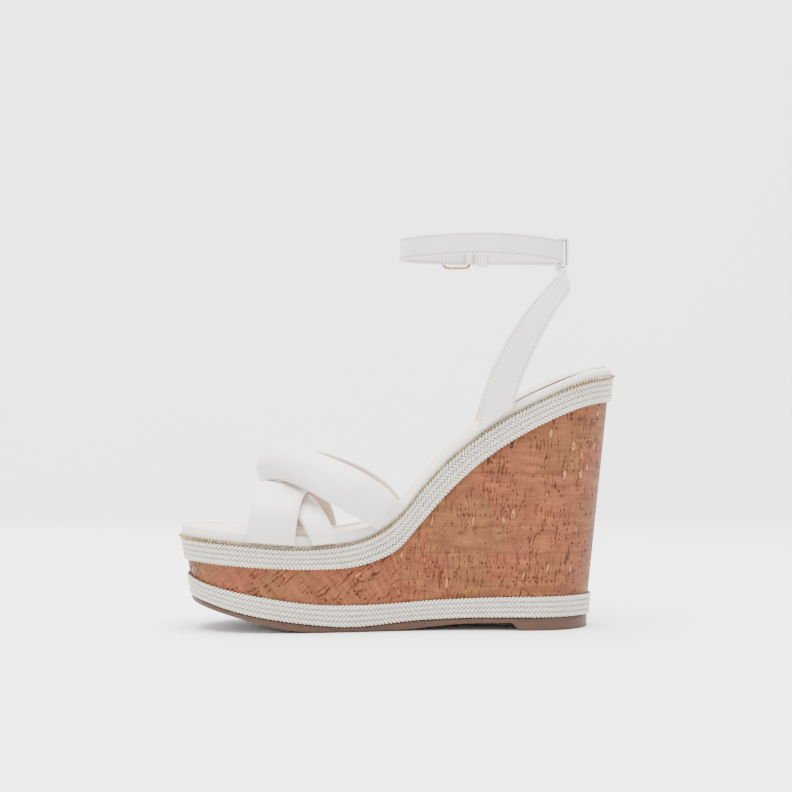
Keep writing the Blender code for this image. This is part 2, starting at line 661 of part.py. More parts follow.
def make_buckle(mats, parts):
    """Rounded frame hinged on its rear bar, and a bent prong with an eye round the same bar."""
    half = FRAME_HEIGHT / 2
    path = []
    outline_xz = []
    for end_x, end_z, start in ((BAR_X, half, 0), (FRAME_FRONT_X, half, 90),
                                (FRAME_FRONT_X, -half, 180), (BAR_X, -half, 270)):
        centre_x = end_x - FRAME_CORNER if end_x == BAR_X else end_x + FRAME_CORNER
        centre_z = end_z - math.copysign(FRAME_CORNER, end_z)
        for step in range(4):
            angle = math.radians(start + 30 * step)
            outline_xz.append((centre_x + FRAME_CORNER * math.cos(angle),
                               centre_z + FRAME_CORNER * math.sin(angle)))
    for x, z in outline_xz:
        share = (BAR_X - x) / (BAR_X - FRAME_FRONT_X)
        path.append(Vector((x, BAR_Y + (FRAME_FRONT_Y - BAR_Y) * share, ANKLE_Z + z)))
    frame = tube("buckle_frame", path, BAR_RADIUS, 8, mats["gold"], parts, closed=True)
    set_origin(frame, (BAR_X, BAR_Y, ANKLE_Z))

    prong_path = [(BAR_X - 1.6, BAR_Y + 0.2), (BAR_X - 2.5, BAR_Y + 1.6), (BAR_X - 3.3, BAR_Y + 3.6),
                  (BAR_X - 5.2, BAR_Y + 4.4), (BAR_X - 9, BAR_Y + 4.0),
                  (FRAME_FRONT_X - 0.4, FRAME_FRONT_Y + 1.9)]
    wire = tube("buckle_prong", [Vector((x, y, ANKLE_Z)) for x, y in prong_path], PRONG_RADIUS, 8,
                mats["gold"], parts)
    eye = []
    for step in range(10):
        angle = math.radians(36 * step)
        eye.append(Vector((BAR_X + 1.6 * math.cos(angle), BAR_Y + 1.6 * math.sin(angle), ANKLE_Z)))
    ring = ribbon_ring("prong_eye", eye, 0.8, 2.4, mats["gold"], parts)
    join = wire.modifiers.new("join_eye", "BOOLEAN")
    join.operation = "UNION"
    join.object = ring
    ring.hide_render = True
    ring.display_type = "WIRE"
    set_origin(wire, (BAR_X, BAR_Y, ANKLE_Z))


def ribbon_ring(name, path, thick, width, mat, group):
    """A short upright tube: a closed flat strip."""
    sections = []
    count = len(path)
    for index, point in enumerate(path):
        along = (path[(index + 1) % count] - path[index - 1]).normalized()
        side = Vector((0, 0, 1)).cross(along) * thick / 2
        up = Vector((0, 0, width / 2))
        sections.append([point - side - up, point + side - up, point + side + up, point - side + up])
    return loft(name, sections, mat, group, closed=True)


def make_keeper(mats, parts):
    """Leather keeper: a flat ring round both layers of the strap, behind the buckle."""
    inner_y, outer_y = BAR_Y - 1.35, BAR_Y + 4.3
    half = ANKLE_WIDTH / 2 + 0.4
    corners = [(inner_y, -half), (outer_y, -half), (outer_y, half), (inner_y, half)]
    grown = [(inner_y - 1, -half - 1), (outer_y + 1, -half - 1), (outer_y + 1, half + 1),
             (inner_y - 1, half + 1)]
    sections = []
    for (y_in, z_in), (y_out, z_out) in zip(corners, grown):
        sections.append([(KEEPER_X[0], y_in, ANKLE_Z + z_in), (KEEPER_X[1], y_in, ANKLE_Z + z_in),
                         (KEEPER_X[1], y_out, ANKLE_Z + z_out), (KEEPER_X[0], y_out, ANKLE_Z + z_out)])
    keeper = loft("strap_keeper", sections, mats["leather"], parts, closed=True)
    set_origin(keeper, ANKLE_TILT_AT)


def main():
    clear_scene()
    parts = new_collection("wedge_sandal")
    cutters = new_collection("cutters")
    mats = {
        "outsole": material("outsole_tan", (0.21, 0.10, 0.05), 0.6),
        "core": material("core_grey", (0.55, 0.52, 0.48), 0.7),
        "cork": material("cork", (0.42, 0.18, 0.08), 0.75),
        "braid": material("braid_white", (0.62, 0.60, 0.54), 0.8),
        "gold": material("champagne_gold", (0.72, 0.60, 0.38), 0.3, 1.0),
        "leather": material("white_leather", (0.78, 0.77, 0.74), 0.5),
        "lining": material("beige_lining", (0.66, 0.53, 0.43), 0.6),
        "foam": material("foam", (0.80, 0.74, 0.55), 0.9),
        "board": material("fibre_board", (0.32, 0.22, 0.14), 0.85),
        "steel": material("steel", (0.55, 0.55, 0.57), 0.35, 1.0),
    }
    make_outsole(mats, parts)
    make_core(mats, parts, cutters)
    make_cork(mats, parts)
    make_braids(mats, parts)
    make_bead(mats, parts)
    make_bed(mats, parts, cutters)
    make_toe_straps(mats, parts)
    make_knot_band(mats, parts)
    make_heel_strap(mats, parts, cutters)
    make_ankle_strap(mats, parts, cutters)
    make_buckle(mats, parts)
    make_keeper(mats, parts)


main()
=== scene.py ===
# %% [markdown]
# # A wedge sandal in cork, braid and white leather
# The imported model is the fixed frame: it says where the sole, the straps and the buckle are.
# This lesson gives each of them its real surface. Where a surface can be read off the frame, such
# as the edges of the sole's layers, it is read there and nothing is measured again.

# %% Load the frame
import math
import random

import bmesh
import bpy
from mathutils import Matrix, Vector, noise


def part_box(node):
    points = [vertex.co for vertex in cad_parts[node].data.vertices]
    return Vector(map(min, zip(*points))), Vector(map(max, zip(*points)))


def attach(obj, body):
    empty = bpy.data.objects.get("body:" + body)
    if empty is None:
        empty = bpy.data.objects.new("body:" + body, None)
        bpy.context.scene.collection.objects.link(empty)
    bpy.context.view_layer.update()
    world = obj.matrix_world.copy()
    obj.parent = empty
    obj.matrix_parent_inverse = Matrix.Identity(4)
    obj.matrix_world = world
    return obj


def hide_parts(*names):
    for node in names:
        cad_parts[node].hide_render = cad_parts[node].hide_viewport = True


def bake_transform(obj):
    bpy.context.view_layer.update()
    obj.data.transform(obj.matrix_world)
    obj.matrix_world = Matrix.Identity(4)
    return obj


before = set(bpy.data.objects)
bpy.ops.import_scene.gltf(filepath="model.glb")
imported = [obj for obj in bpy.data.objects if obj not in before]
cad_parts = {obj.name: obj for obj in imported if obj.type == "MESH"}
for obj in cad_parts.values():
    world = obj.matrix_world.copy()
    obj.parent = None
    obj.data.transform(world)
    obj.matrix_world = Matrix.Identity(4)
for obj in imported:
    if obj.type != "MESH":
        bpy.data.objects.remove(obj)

MM = 0.001
UP = Vector((0, 0, 1))
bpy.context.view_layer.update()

# %% [markdown]
# ## Camera, floor and light
# The sandal stands side-on to a level camera on a pale floor, with a pale wall behind. A wide
# lens close up would swell the near side of the sole, so a long lens stands about a metre away.
# Small lamps would throw hard shadows. One big lamp overhead and a bright sky keep the light even,
# so the white straps read through soft shading, with one soft shadow under the sole.

# %% Camera
CAMERA_PLACE = (-0.0005, -1.05, 0.1225)      # metres: beside the sandal's middle, level with it
LENS = 89.2                                  # millimetres, on a sensor 36 mm wide

camera_data = bpy.data.cameras.new("camera")
camera_data.lens = LENS
camera_data.sensor_width = 36.0
camera = bpy.data.objects.new("camera", camera_data)
camera.location = CAMERA_PLACE
camera.rotation_euler = (math.radians(90), 0, 0)
bpy.context.scene.collection.objects.link(camera)
bpy.context.scene.camera = camera
print("camera at", tuple(camera.location))

# %% [markdown]
# ## Helpers for finishes
# A real finish is never one flat colour: it has grain, small relief and a little wear. Painted
# images could hold that, but they need unwrapped meshes and blur close up. Every finish here is
# built from noise and colour ramps instead, which stay sharp. Each helper adds one node.


# %% Materials start from one helper
def new_material(name, colour, roughness, metallic=0.0):
    """A material and its nodes, links and shader, ready for more nodes."""
    mat = bpy.data.materials.new(name)
    mat.use_nodes = True
    nodes, links = mat.node_tree.nodes, mat.node_tree.links
    shader = nodes["Principled BSDF"]
    shader.inputs["Base Color"].default_value = (*colour, 1.0)
    shader.inputs["Roughness"].default_value = roughness
    shader.inputs["Metallic"].default_value = metallic
    return mat, nodes, links, shader


def pattern(nodes, links, kind, source, **values):
    """A texture node fed by source; values go to its sockets, or to its settings."""
    node = nodes.new(kind)
    for key, value in values.items():
        if key in node.inputs:
            node.inputs[key].default_value = value
        else:
            setattr(node, key, value)
    links.new(source, node.inputs["Vector"])
    return node


def object_points(nodes, links, scale=(1, 1, 1), turn=(0, 0, 0)):
    """Object coordinates through a Mapping node."""
    coords = nodes.new("ShaderNodeTexCoord")
    mapping = nodes.new("ShaderNodeMapping")
    mapping.inputs["Scale"].default_value = scale
    mapping.inputs["Rotation"].default_value = turn
    links.new(coords.outputs["Object"], mapping.inputs["Vector"])
    return mapping.outputs["Vector"]


def ramp(nodes, links, source, stops):
    """Colour ramp with stops of (position, (r, g, b))."""
    node = nodes.new("ShaderNodeValToRGB")
    elements = node.color_ramp.elements
    while len(elements) < len(stops):
        elements.new(0.5)
    for element, (position, colour) in zip(elements, stops):
        element.position = position
        element.color = (*colour, 1.0)
    links.new(source, node.inputs["Fac"])
    return node.outputs["Color"]


def window(nodes, links, source, low, high, to_low=0.0, to_high=1.0):
    """Smooth step of source between low and high."""
    node = nodes.new("ShaderNodeMapRange")
    node.interpolation_type = "SMOOTHSTEP"
    for key, value in (("From Min", low), ("From Max", high), ("To Min", to_low),
                       ("To Max", to_high)):
        node.inputs[key].default_value = value
    links.new(source, node.inputs["Value"])
    return node.outputs["Result"]


def maths(nodes, links, operation, first, second):
    """Two-input sum; first and second are sockets or numbers."""
    node = nodes.new("ShaderNodeMath")
    node.operation = operation
    for index, value in enumerate((first, second)):
        if isinstance(value, (int, float)):
            node.inputs[index].default_value = value
        else:
            links.new(value, node.inputs[index])
    return node.outputs[0]


def mix(nodes, links, factor, first, second, blend="MIX"):
    """Colour mix; first and second are sockets or colours."""
    node = nodes.new("ShaderNodeMix")
    node.data_type = "RGBA"
    node.blend_type = blend
    for socket, value in ((node.inputs[0], factor), (node.inputs[6], first), (node.inputs[7], second)):
        if isinstance(value, (int, float)):
            socket.default_value = value
        elif isinstance(value, tuple):
            socket.default_value = (*value, 1.0)
        else:
            links.new(value, socket)
    return node.outputs[2]


def bump(nodes, links, shader, height, depth, strength=1.0):
    """Bump of the given depth in metres on the shader's normal."""
    node = nodes.new("ShaderNodeBump")
    node.inputs["Strength"].default_value = strength
    node.inputs["Distance"].default_value = depth
    links.new(height, node.inputs["Height"])
    links.new(node.outputs["Normal"], shader.inputs["Normal"])


print("material helpers ready")


# %% Floor and wall
FLOOR_REACH = 3.2            # metres to either side
FLOOR_NEAR = -2.6            # the floor's near edge, behind the camera
WALL_Y = 0.74                # the wall stands this far behind the sandal
WALL_TALL = 3.0
COVE = 0.012                 # radius of the tight curve where the floor meets the wall
COVE_STEPS = 6


def paper_material():
    """Pale paper that is clear from behind, so that a view from there looks through the wall."""
    mat, nodes, links, shader = new_material("studio_paper", (0.80, 0.80, 0.80), 0.9)
    grain = pattern(nodes, links, "ShaderNodeTexNoise", object_points(nodes, links), Scale=3.0)
    tone = ramp(nodes, links, grain.outputs["Fac"],
                [(0.3, (0.80, 0.80, 0.80)), (0.7, (0.82, 0.82, 0.82))])
    links.new(tone, shader.inputs["Base Color"])
    side = nodes.new("ShaderNodeNewGeometry")
    clear = nodes.new("ShaderNodeBsdfTransparent")
    either = nodes.new("ShaderNodeMixShader")
    links.new(side.outputs["Backfacing"], either.inputs[0])
    links.new(shader.outputs[0], either.inputs[1])
    links.new(clear.outputs[0], either.inputs[2])
    links.new(either.outputs[0], nodes["Material Output"].inputs["Surface"])
    return mat


def make_stage():
    """One sheet: the floor's near edge is extruded back, round the cove and up the wall."""
    bm = bmesh.new()
    start = [bm.verts.new((side * FLOOR_REACH, FLOOR_NEAR, 0)) for side in (-1, 1)]
    edge = bm.edges.new(start)
    steps = [(WALL_Y - COVE, 0.0)]
    for step in range(1, COVE_STEPS + 1):
        angle = math.radians(90 * step / COVE_STEPS)
        steps.append((WALL_Y - COVE + COVE * math.sin(angle), COVE - COVE * math.cos(angle)))
    steps.append((WALL_Y, WALL_TALL))
    for y, z in steps:
        made = bmesh.ops.extrude_edge_only(bm, edges=[edge])["geom"]
        edge = next(g for g in made if isinstance(g, bmesh.types.BMEdge) and
                    all(v in made for v in g.verts))
        for vert in edge.verts:
            vert.co.y, vert.co.z = y, z
    bmesh.ops.recalc_face_normals(bm, faces=bm.faces)
    bm.faces.ensure_lookup_table()
    if bm.faces[0].normal.z < 0:
        bmesh.ops.reverse_faces(bm, faces=bm.faces)
    mesh = bpy.data.meshes.new("studio")
    bm.to_mesh(mesh)
    bm.free()
    mesh.shade_smooth()
    mesh.materials.append(paper_material())
    obj = bpy.data.objects.new("studio", mesh)
    bpy.context.scene.collection.objects.link(obj)
    print("studio:", len(mesh.polygons), "faces")


make_stage()


# %% Lamps and sky
def area_light(name, place, aim, size, power):
    """A soft lamp that points at aim. Places and sizes are in metres, power in watts."""
    data = bpy.data.lights.new(name, "AREA")
    data.shape = "RECTANGLE"
    data.size, data.size_y = size
    data.energy = power
    lamp = bpy.data.objects.new(name, data)
    lamp.location = place
    lamp.rotation_euler = (Vector(aim) - Vector(place)).to_track_quat("-Z", "Y").to_euler()
    bpy.context.scene.collection.objects.link(lamp)


area_light("overhead", (-0.1, -0.2, 1.9), (0, 0, 0), (1.8, 1.6), 165.0)
area_light("front_left", (-1.3, -1.5, 1.0), (0, 0, 0.08), (1.2, 1.2), 17.0)
area_light("front_right", (1.5, -1.5, 0.9), (0, 0, 0.08), (1.2, 1.2), 9.0)

world = bpy.data.worlds.new("studio_air")
world.use_nodes = True
world.node_tree.nodes["Background"].inputs["Color"].default_value = (0.97, 0.98, 1.0, 1.0)
world.node_tree.nodes["Background"].inputs["Strength"].default_value = 1.30
bpy.context.scene.world = world

# %% [markdown]
# ## Reading the sole's edges off the frame
# Every layer of the sole is a ring or a slab. Where its outer wall meets its top or its underside
# there is one closed loop of edges, and walking that loop gives the line that a braid, a welt or a
# row of stitches follows. The line could be drawn again by hand, but then it would drift from the
# frame. The walk starts at the toe and goes along the near side first.

# %% Edge loops of a layer
SPINE_FRONT, SPINE_REAR = -70.0, 80.0        # millimetres: the ends of the sole's middle line
WELD = 1e-6                                  # metres: loose corners this close are one corner


def spine_point(point):
    """The point of the sole's middle line that lies square to a point of a wall."""
    return Vector((min(max(point.x, SPINE_FRONT), SPINE_REAR), 0.0, point.z))


def face_side(face):
    """Which wall of a sole layer a face belongs to."""
    if abs(face.normal.z) > 0.5:
        return "top" if face.normal.z > 0 else "foot"
    middle = face.calc_center_median() / MM
    return "outer" if face.normal.dot(middle - spine_point(middle)) > 0 else "inner"


def loop_of(node, wall, end):
    """Points, in millimetres, of the loop where one wall meets the top or the foot."""
    bm = bmesh.new()
    bm.from_mesh(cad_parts[node].data)
    bmesh.ops.remove_doubles(bm, verts=bm.verts, dist=WELD)
    wanted = {wall, end}
    edges = [e for e in bm.edges if {face_side(f) for f in e.link_faces} == wanted]
    neighbours = {}
    for edge in edges:
        for vert in edge.verts:
            neighbours.setdefault(vert, []).append(edge.other_vert(vert))
    start = min(neighbours, key=lambda v: (round(v.co.x, 5), v.co.y))
    walk = [start]
    step = min(neighbours[start], key=lambda v: v.co.y)
    while step is not start:
        walk.append(step)
        step = next(v for v in neighbours[step] if v is not walk[-2])
    points = [v.co / MM for v in walk]
    bm.free()
    return points


def at(points, position):
    """Point of a closed smooth curve through points, at a fractional index."""
    count = len(points)
    base = math.floor(position)
    t = position - base
    p0, p1, p2, p3 = (points[(base + k) % count] for k in (-1, 0, 1, 2))
    return 0.5 * (2 * p1 + (p2 - p0) * t + (2 * p0 - 5 * p1 + 4 * p2 - p3) * t * t
                  + (3 * p1 - p0 - 3 * p2 + p3) * t**3)


def heading(points, position, reach=0.05):
    """Direction of a closed curve at a fractional index."""
    return (at(points, position + reach) - at(points, position - reach)).normalized()


def even_positions(points, spacing):
    """Fractional indices that are evenly spaced along the closed curve, and its length."""
    fine = 12
    count = len(points) * fine
    spots = [at(points, index / fine) for index in range(count)]
    lengths = [0.0]
    for index in range(count):
        lengths.append(lengths[-1] + (spots[(index + 1) % count] - spots[index]).length)
    total = lengths[-1]
    wanted = round(total / spacing)
    positions, index = [], 0
    for step in range(wanted):
        goal = total * step / wanted
        while lengths[index + 1] < goal:
            index += 1
        share = (goal - lengths[index]) / (lengths[index + 1] - lengths[index])
        positions.append((index + share) / fine)
    return positions, total


rim_outer_foot = loop_of("rim_binding", "outer", "foot")
print("rim:", len(rim_outer_foot), "stations,", round(even_positions(rim_outer_foot, 2)[1]), "mm round")

# %% [markdown]
# ## One sweep for every strip, welt and wall
# Most pieces here are a section carried along a path: a ring of a few vertices, extruded edge by
# edge from station to station. A curve with a bevel would do for a cord, but it can't change its
# section on the way. Extruding can, and it keeps the faces in tidy rows, which the patterns
# need.


# %% Sweep helpers
def sweep(sections, closed=False, ring=True):
    """A bmesh that joins the sections in order. Points are in millimetres.

    closed joins the last section to the first. ring says that each section is a closed outline,
    so that an open sweep gets a cap at either end.
    """
    bm = bmesh.new()
    row = [bm.verts.new(point * MM) for point in sections[0]]
    count = len(row)
    pairs = count if ring else count - 1
    first = [bm.edges.new((row[i], row[(i + 1) % count])) for i in range(pairs)]
    edges = first
    for section in sections[1:]:
        made = bmesh.ops.extrude_edge_only(bm, edges=edges)["geom"]
        new = {g for g in made if isinstance(g, bmesh.types.BMVert)}
        following = []
        for vert, point in zip(row, section):
            grown = next(e.other_vert(vert) for e in vert.link_edges if e.other_vert(vert) in new)
            grown.co = point * MM
            following.append(grown)
        edges = [bm.edges.get((following[i], following[(i + 1) % count])) for i in range(pairs)]
        row = following
    if closed:
        bmesh.ops.bridge_loops(bm, edges=first + edges)
    elif ring:
        bmesh.ops.edgeloop_fill(bm, edges=first)
        bmesh.ops.edgeloop_fill(bm, edges=edges)
    bmesh.ops.recalc_face_normals(bm, faces=bm.faces)
    return bm


def piece_from(bm, name, mat, body="sole_and_toe_straps", stands_for=(), crease=40):
    """Turns a finished bmesh into a named piece that rides on a body.

    body is None for a piece that is left on no body. An edge sharper than
    crease, in degrees, is shaded sharp.
    """
    mesh = bpy.data.meshes.new(name)
    bm.to_mesh(mesh)
    bm.free()
    mesh.shade_smooth()
    mesh.set_sharp_from_angle(angle=math.radians(crease))
    mesh.materials.append(mat)
    obj = bpy.data.objects.new(name, mesh)
    bpy.context.scene.collection.objects.link(obj)
    if body:
        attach(obj, body)
    if stands_for:
        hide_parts(*stands_for)
    print(f"{name}: {len(mesh.polygons)} faces")
    return obj


# %% [markdown]
# ## Cork veneer
# Cork sheet is made of thin slices glued side by side, so its face is a patchwork of tan and
# salmon blocks with fine layer lines. Short dark pores run across the layers, and here and there
# a pale knot shows. A plain block pattern in space would smear where the wall turns, so this one
# runs on a coordinate that follows the wall round the heel. The platform's panel was cut on the
# slant.


# %% Cork blocks and layers
def stretched(nodes, links, source, scale):
    """The source times scale, which draws out the pattern that reads it."""
    node = nodes.new("ShaderNodeVectorMath")
    node.operation = "MULTIPLY"
    node.inputs[1].default_value = scale
    links.new(source, node.inputs[0])
    return node.outputs["Vector"]


def cork_points(nodes, links, slant):
    """Millimetres round and up the wall, turned by slant: first straight, then a little wavy."""
    wrap = nodes.new("ShaderNodeAttribute")
    wrap.attribute_name = "wrap"
    turn = nodes.new("ShaderNodeMapping")
    turn.inputs["Rotation"].default_value = (0, 0, slant)
    links.new(wrap.outputs["Vector"], turn.inputs["Vector"])
    flat = turn.outputs["Vector"]
    wander = pattern(nodes, links, "ShaderNodeTexNoise", flat, Scale=0.09, Detail=2.0)
    shift = nodes.new("ShaderNodeVectorMath")
    shift.operation = "MULTIPLY_ADD"
    links.new(wander.outputs["Color"], shift.inputs[0])
    shift.inputs[1].default_value = (5.0, 3.0, 0.0)
    links.new(flat, shift.inputs[2])
    return flat, shift.outputs["Vector"]


def cork_layers(nodes, links, wavy):
    """Tan and salmon blocks 27 by 14 mm, cloudy patches in them, and fine layer lines."""
    blocks = pattern(nodes, links, "ShaderNodeTexBrick", wavy, Scale=1.0, offset=0.37, **{
        "Brick Width": 27.0, "Row Height": 14.0, "Mortar Size": 0.20, "Mortar Smooth": 0.6, "Bias": 0.0,
        "Color1": (0.178, 0.0435, 0.0122, 1), "Color2": (0.150, 0.0500, 0.0108, 1),
        "Mortar": (0.085, 0.024, 0.0075, 1)})
    cloudy = pattern(nodes, links, "ShaderNodeTexNoise", stretched(nodes, links, wavy, (0.06, 0.28, 1.0)),
                     Scale=1.0, Detail=3.0)
    patch = ramp(nodes, links, cloudy.outputs["Fac"],
                 [(0.36, (0.66, 0.62, 0.56)), (0.52, (1.0, 1.0, 1.0)), (0.66, (1.35, 1.42, 1.35))])
    tone = mix(nodes, links, 0.75, blocks.outputs["Color"], patch, "MULTIPLY")
    layers = pattern(nodes, links, "ShaderNodeTexNoise", stretched(nodes, links, wavy, (0.05, 1.9, 1.0)),
                     Scale=1.0, Detail=2.0)
    layer_lines = ramp(nodes, links, layers.outputs["Fac"],
                       [(0.38, (0.80, 0.77, 0.73)), (0.50, (1.0, 1.0, 1.0)), (0.64, (1.08, 1.10, 1.10))])
    return mix(nodes, links, 0.8, tone, layer_lines, "MULTIPLY")


# %% Cork knots and pores
KNOT_RIM = (0.060, 0.0165, 0.0045)
KNOT_PALE = (0.33, 0.118, 0.036)
PORE_DARK = (0.034, 0.0085, 0.0022)


def cells(nodes, links, points, channel):
    """Scattered spots: the distance to each one's middle, and one random number for each."""
    spots = pattern(nodes, links, "ShaderNodeTexVoronoi", points, Scale=1.0, Randomness=1.0)
    split = nodes.new("ShaderNodeSeparateColor")
    links.new(spots.outputs["Color"], split.inputs["Color"])
    return spots.outputs["Distance"], split.outputs[channel]


def add_knots(nodes, links, wavy, tone):
    """Pale ragged knots with a dark rim, in about one cell of four."""
    distance, rare = cells(nodes, links, stretched(nodes, links, wavy, (0.20, 0.085, 1.0)), "Red")
    ragged = pattern(nodes, links, "ShaderNodeTexNoise", stretched(nodes, links, wavy, (0.9, 0.4, 1.0)),
                     Scale=1.0, Detail=3.0)
    reach = maths(nodes, links, "ADD", distance,
                  maths(nodes, links, "MULTIPLY", ragged.outputs["Fac"], 0.30))
    chosen = window(nodes, links, rare, 0.76, 0.78)
    pale = maths(nodes, links, "MULTIPLY", window(nodes, links, reach, 0.40, 0.34), chosen)
    rim = maths(nodes, links, "MULTIPLY", window(nodes, links, reach, 0.56, 0.42), chosen)
    tone = mix(nodes, links, maths(nodes, links, "MULTIPLY", rim, 0.55), tone, KNOT_RIM)
    return mix(nodes, links, pale, tone, KNOT_PALE)


def pore_mask(nodes, links, wavy):
    """Where the dark pores are: long streaks and small specks, both in clusters."""
    streaks = pattern(nodes, links, "ShaderNodeTexNoise", stretched(nodes, links, wavy, (0.85, 0.085, 1.0)),
                      Scale=1.0, Detail=5.0, Roughness=0.68)
    where = pattern(nodes, links, "ShaderNodeTexNoise", stretched(nodes, links, wavy, (0.055, 0.05, 1.0)),
                    Scale=1.0, Detail=1.0)
    streak = maths(nodes, links, "MULTIPLY", window(nodes, links, streaks.outputs["Fac"], 0.555, 0.605),
                   window(nodes, links, where.outputs["Fac"], 0.38, 0.54, 0.3, 1.0))
    distance, chance = cells(nodes, links, stretched(nodes, links, wavy, (0.62, 0.40, 1.0)), "Green")
    crowd = window(nodes, links, where.outputs["Fac"], 0.44, 0.60, 0.90, 0.55)
    speck = maths(nodes, links, "MULTIPLY", window(nodes, links, distance, 0.42, 0.22),
                  maths(nodes, links, "GREATER_THAN", chance, crowd))
    return maths(nodes, links, "MAXIMUM", streak, speck)


# %% Cork material
def cork_material(name, slant):
    """Cork whose blocks are turned by slant. The pores are dark, rough and sunk."""
    mat, nodes, links, shader = new_material(name, (0.47, 0.20, 0.09), 0.72)
    flat, wavy = cork_points(nodes, links, slant)
    tone = add_knots(nodes, links, wavy, cork_layers(nodes, links, wavy))
    pores = pore_mask(nodes, links, wavy)
    tone = mix(nodes, links, maths(nodes, links, "MULTIPLY", pores, 0.92), tone, PORE_DARK)
    links.new(tone, shader.inputs["Base Color"])
    grain = pattern(nodes, links, "ShaderNodeTexNoise", flat, Scale=2.6, Detail=4.0)
    height = maths(nodes, links, "SUBTRACT", maths(nodes, links, "MULTIPLY", grain.outputs["Fac"], 0.3),
                   pores)
    bump(nodes, links, shader, height, 0.0004, 0.7)
    links.new(window(nodes, links, pores, 0.0, 1.0, 0.62, 0.92), shader.inputs["Roughness"])
    shader.inputs["Specular IOR Level"].default_value = 0.35
    return mat


cork_heel = cork_material("cork_heel", 0.0)
cork_front = cork_material("cork_front", math.radians(50))
print("cork:", cork_heel.name, cork_front.name)

# %% [markdown]
# ## Cork panels
# The veneer is glued round the wedge in two panels, with a leaning joint behind the forefoot. Each
# panel could be drawn by itself, but then their edges would have to be matched. Here one wall is
# swept round the whole sole, a plane cuts it at the joint, and Solidify gives it its thickness.

# %% Cork wall
CORK_STATION = 2.2           # millimetres between the wall's stations
CORK_LEVELS = 26             # faces from the foot of the wall to its top
CORK_SUNK = 0.3              # millimetres: the wall lies this far inside the braids' inner edges


def cork_wall():
    """Sections of the wall from the lower braid's foot to the upper one's top, and its length."""
    tops, feet = loop_of("upper_braid", "inner", "top"), loop_of("lower_braid", "inner", "foot")
    positions, around = even_positions(tops, CORK_STATION)
    sections = []
    for position in positions:
        top, foot = at(tops, position), at(feet, position)
        out = (top - foot).cross(heading(tops, position, reach=0.02)).normalized()
        inward = out * CORK_SUNK
        if out.dot(spine_point(top) - top) < 0:
            inward.negate()
        sections.append([foot.lerp(top, level / CORK_LEVELS) + inward
                         for level in range(CORK_LEVELS + 1)])
    return sections, around


# %% Cork panels
JOINT_TOP = 0.057            # metres: height of the joint's upper end
JOINT_TALL = 0.050
JOINT_GAP = 0.0002           # a thin line stays open between the panels
VENEER_THICK = 0.0009


def make_cork():
    """Each panel is swept from a seam that its own cut removes, so the wrap never jumps in it."""
    sections, around = cork_wall()
    joint_top = Vector(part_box("cork_panel_heel")[0]).x + JOINT_GAP
    joint_foot = Vector(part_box("cork_panel_front")[1]).x - JOINT_GAP
    lean = Vector((joint_foot - joint_top, 0, -JOINT_TALL))
    normal = Vector((-lean.z, 0, lean.x)).normalized()
    station = around / len(sections)
    for name, mat, keep_front, start in (("cork_panel_front", cork_front, True, len(sections) // 2),
                                         ("cork_panel_heel", cork_heel, False, 0)):
        turned = sections[start:] + sections[:start]
        bm = sweep(turned + [turned[0]], ring=False)
        wrap = bm.verts.layers.float_vector.new("wrap")
        bm.verts.ensure_lookup_table()
        for index, vert in enumerate(bm.verts):
            vert[wrap] = (station * (index // (CORK_LEVELS + 1)), vert.co.z / MM, 0.0)
        bmesh.ops.bisect_plane(bm, geom=bm.verts[:] + bm.edges[:] + bm.faces[:],
                               plane_co=(joint_top, 0, JOINT_TOP), plane_no=normal,
                               clear_outer=keep_front, clear_inner=not keep_front)
        bmesh.ops.remove_doubles(bm, verts=bm.verts, dist=WELD)
        bmesh.ops.recalc_face_normals(bm, faces=bm.faces)
        panel = piece_from(bm, name + "_veneer", mat, stands_for=(name,))
        wall = panel.modifiers.new("wall", "SOLIDIFY")
        wall.thickness = VENEER_THICK
        wall.offset = -1.0


make_cork()

# %% [markdown]
# ## Rubber outsole
# A thin tan rubber sole follows the platform's foot and steps down to its own heel block. Its
# outline is already in the frame, so sweeping it again would gain nothing: the frame's solid is
# copied, its two rims are rounded, and the finish adds the cloudy rubber and the tread's ribs.


# %% Rubber material
def rubber_material():
    """Tan moulded rubber: the wall is cloudy with fine flow lines, and the underside is ribbed."""
    mat, nodes, links, shader = new_material("outsole_rubber", (0.20, 0.105, 0.058), 0.55)
    points = object_points(nodes, links)
    cloud = pattern(nodes, links, "ShaderNodeTexNoise", points, Scale=55.0, Detail=3.0)
    fine = pattern(nodes, links, "ShaderNodeTexNoise", object_points(nodes, links, (300, 300, 2600)),
                   Scale=1.0, Detail=2.0)
    tone = ramp(nodes, links, cloud.outputs["Fac"],
                [(0.3, (0.038, 0.0125, 0.0030)), (0.7, (0.060, 0.0205, 0.0050))])
    links.new(mix(nodes, links, 0.25, tone, fine.outputs["Color"], "OVERLAY"), shader.inputs["Base Color"])
    ribs = pattern(nodes, links, "ShaderNodeTexWave", points, Scale=130.0)
    normal = nodes.new("ShaderNodeNewGeometry")
    facing = nodes.new("ShaderNodeSeparateXYZ")
    links.new(normal.outputs["True Normal"], facing.inputs[0])
    under = window(nodes, links, facing.outputs["Z"], -0.5, -0.9)
    height = maths(nodes, links, "ADD", maths(nodes, links, "MULTIPLY", ribs.outputs["Fac"], under),
                   maths(nodes, links, "MULTIPLY", fine.outputs["Fac"], 0.12))
    bump(nodes, links, shader, height, 0.0006, 0.6)
    return mat


outsole_rubber = rubber_material()
print("rubber:", outsole_rubber.name)

# %% Outsole
RIM_ROUND = 0.0005           # metres


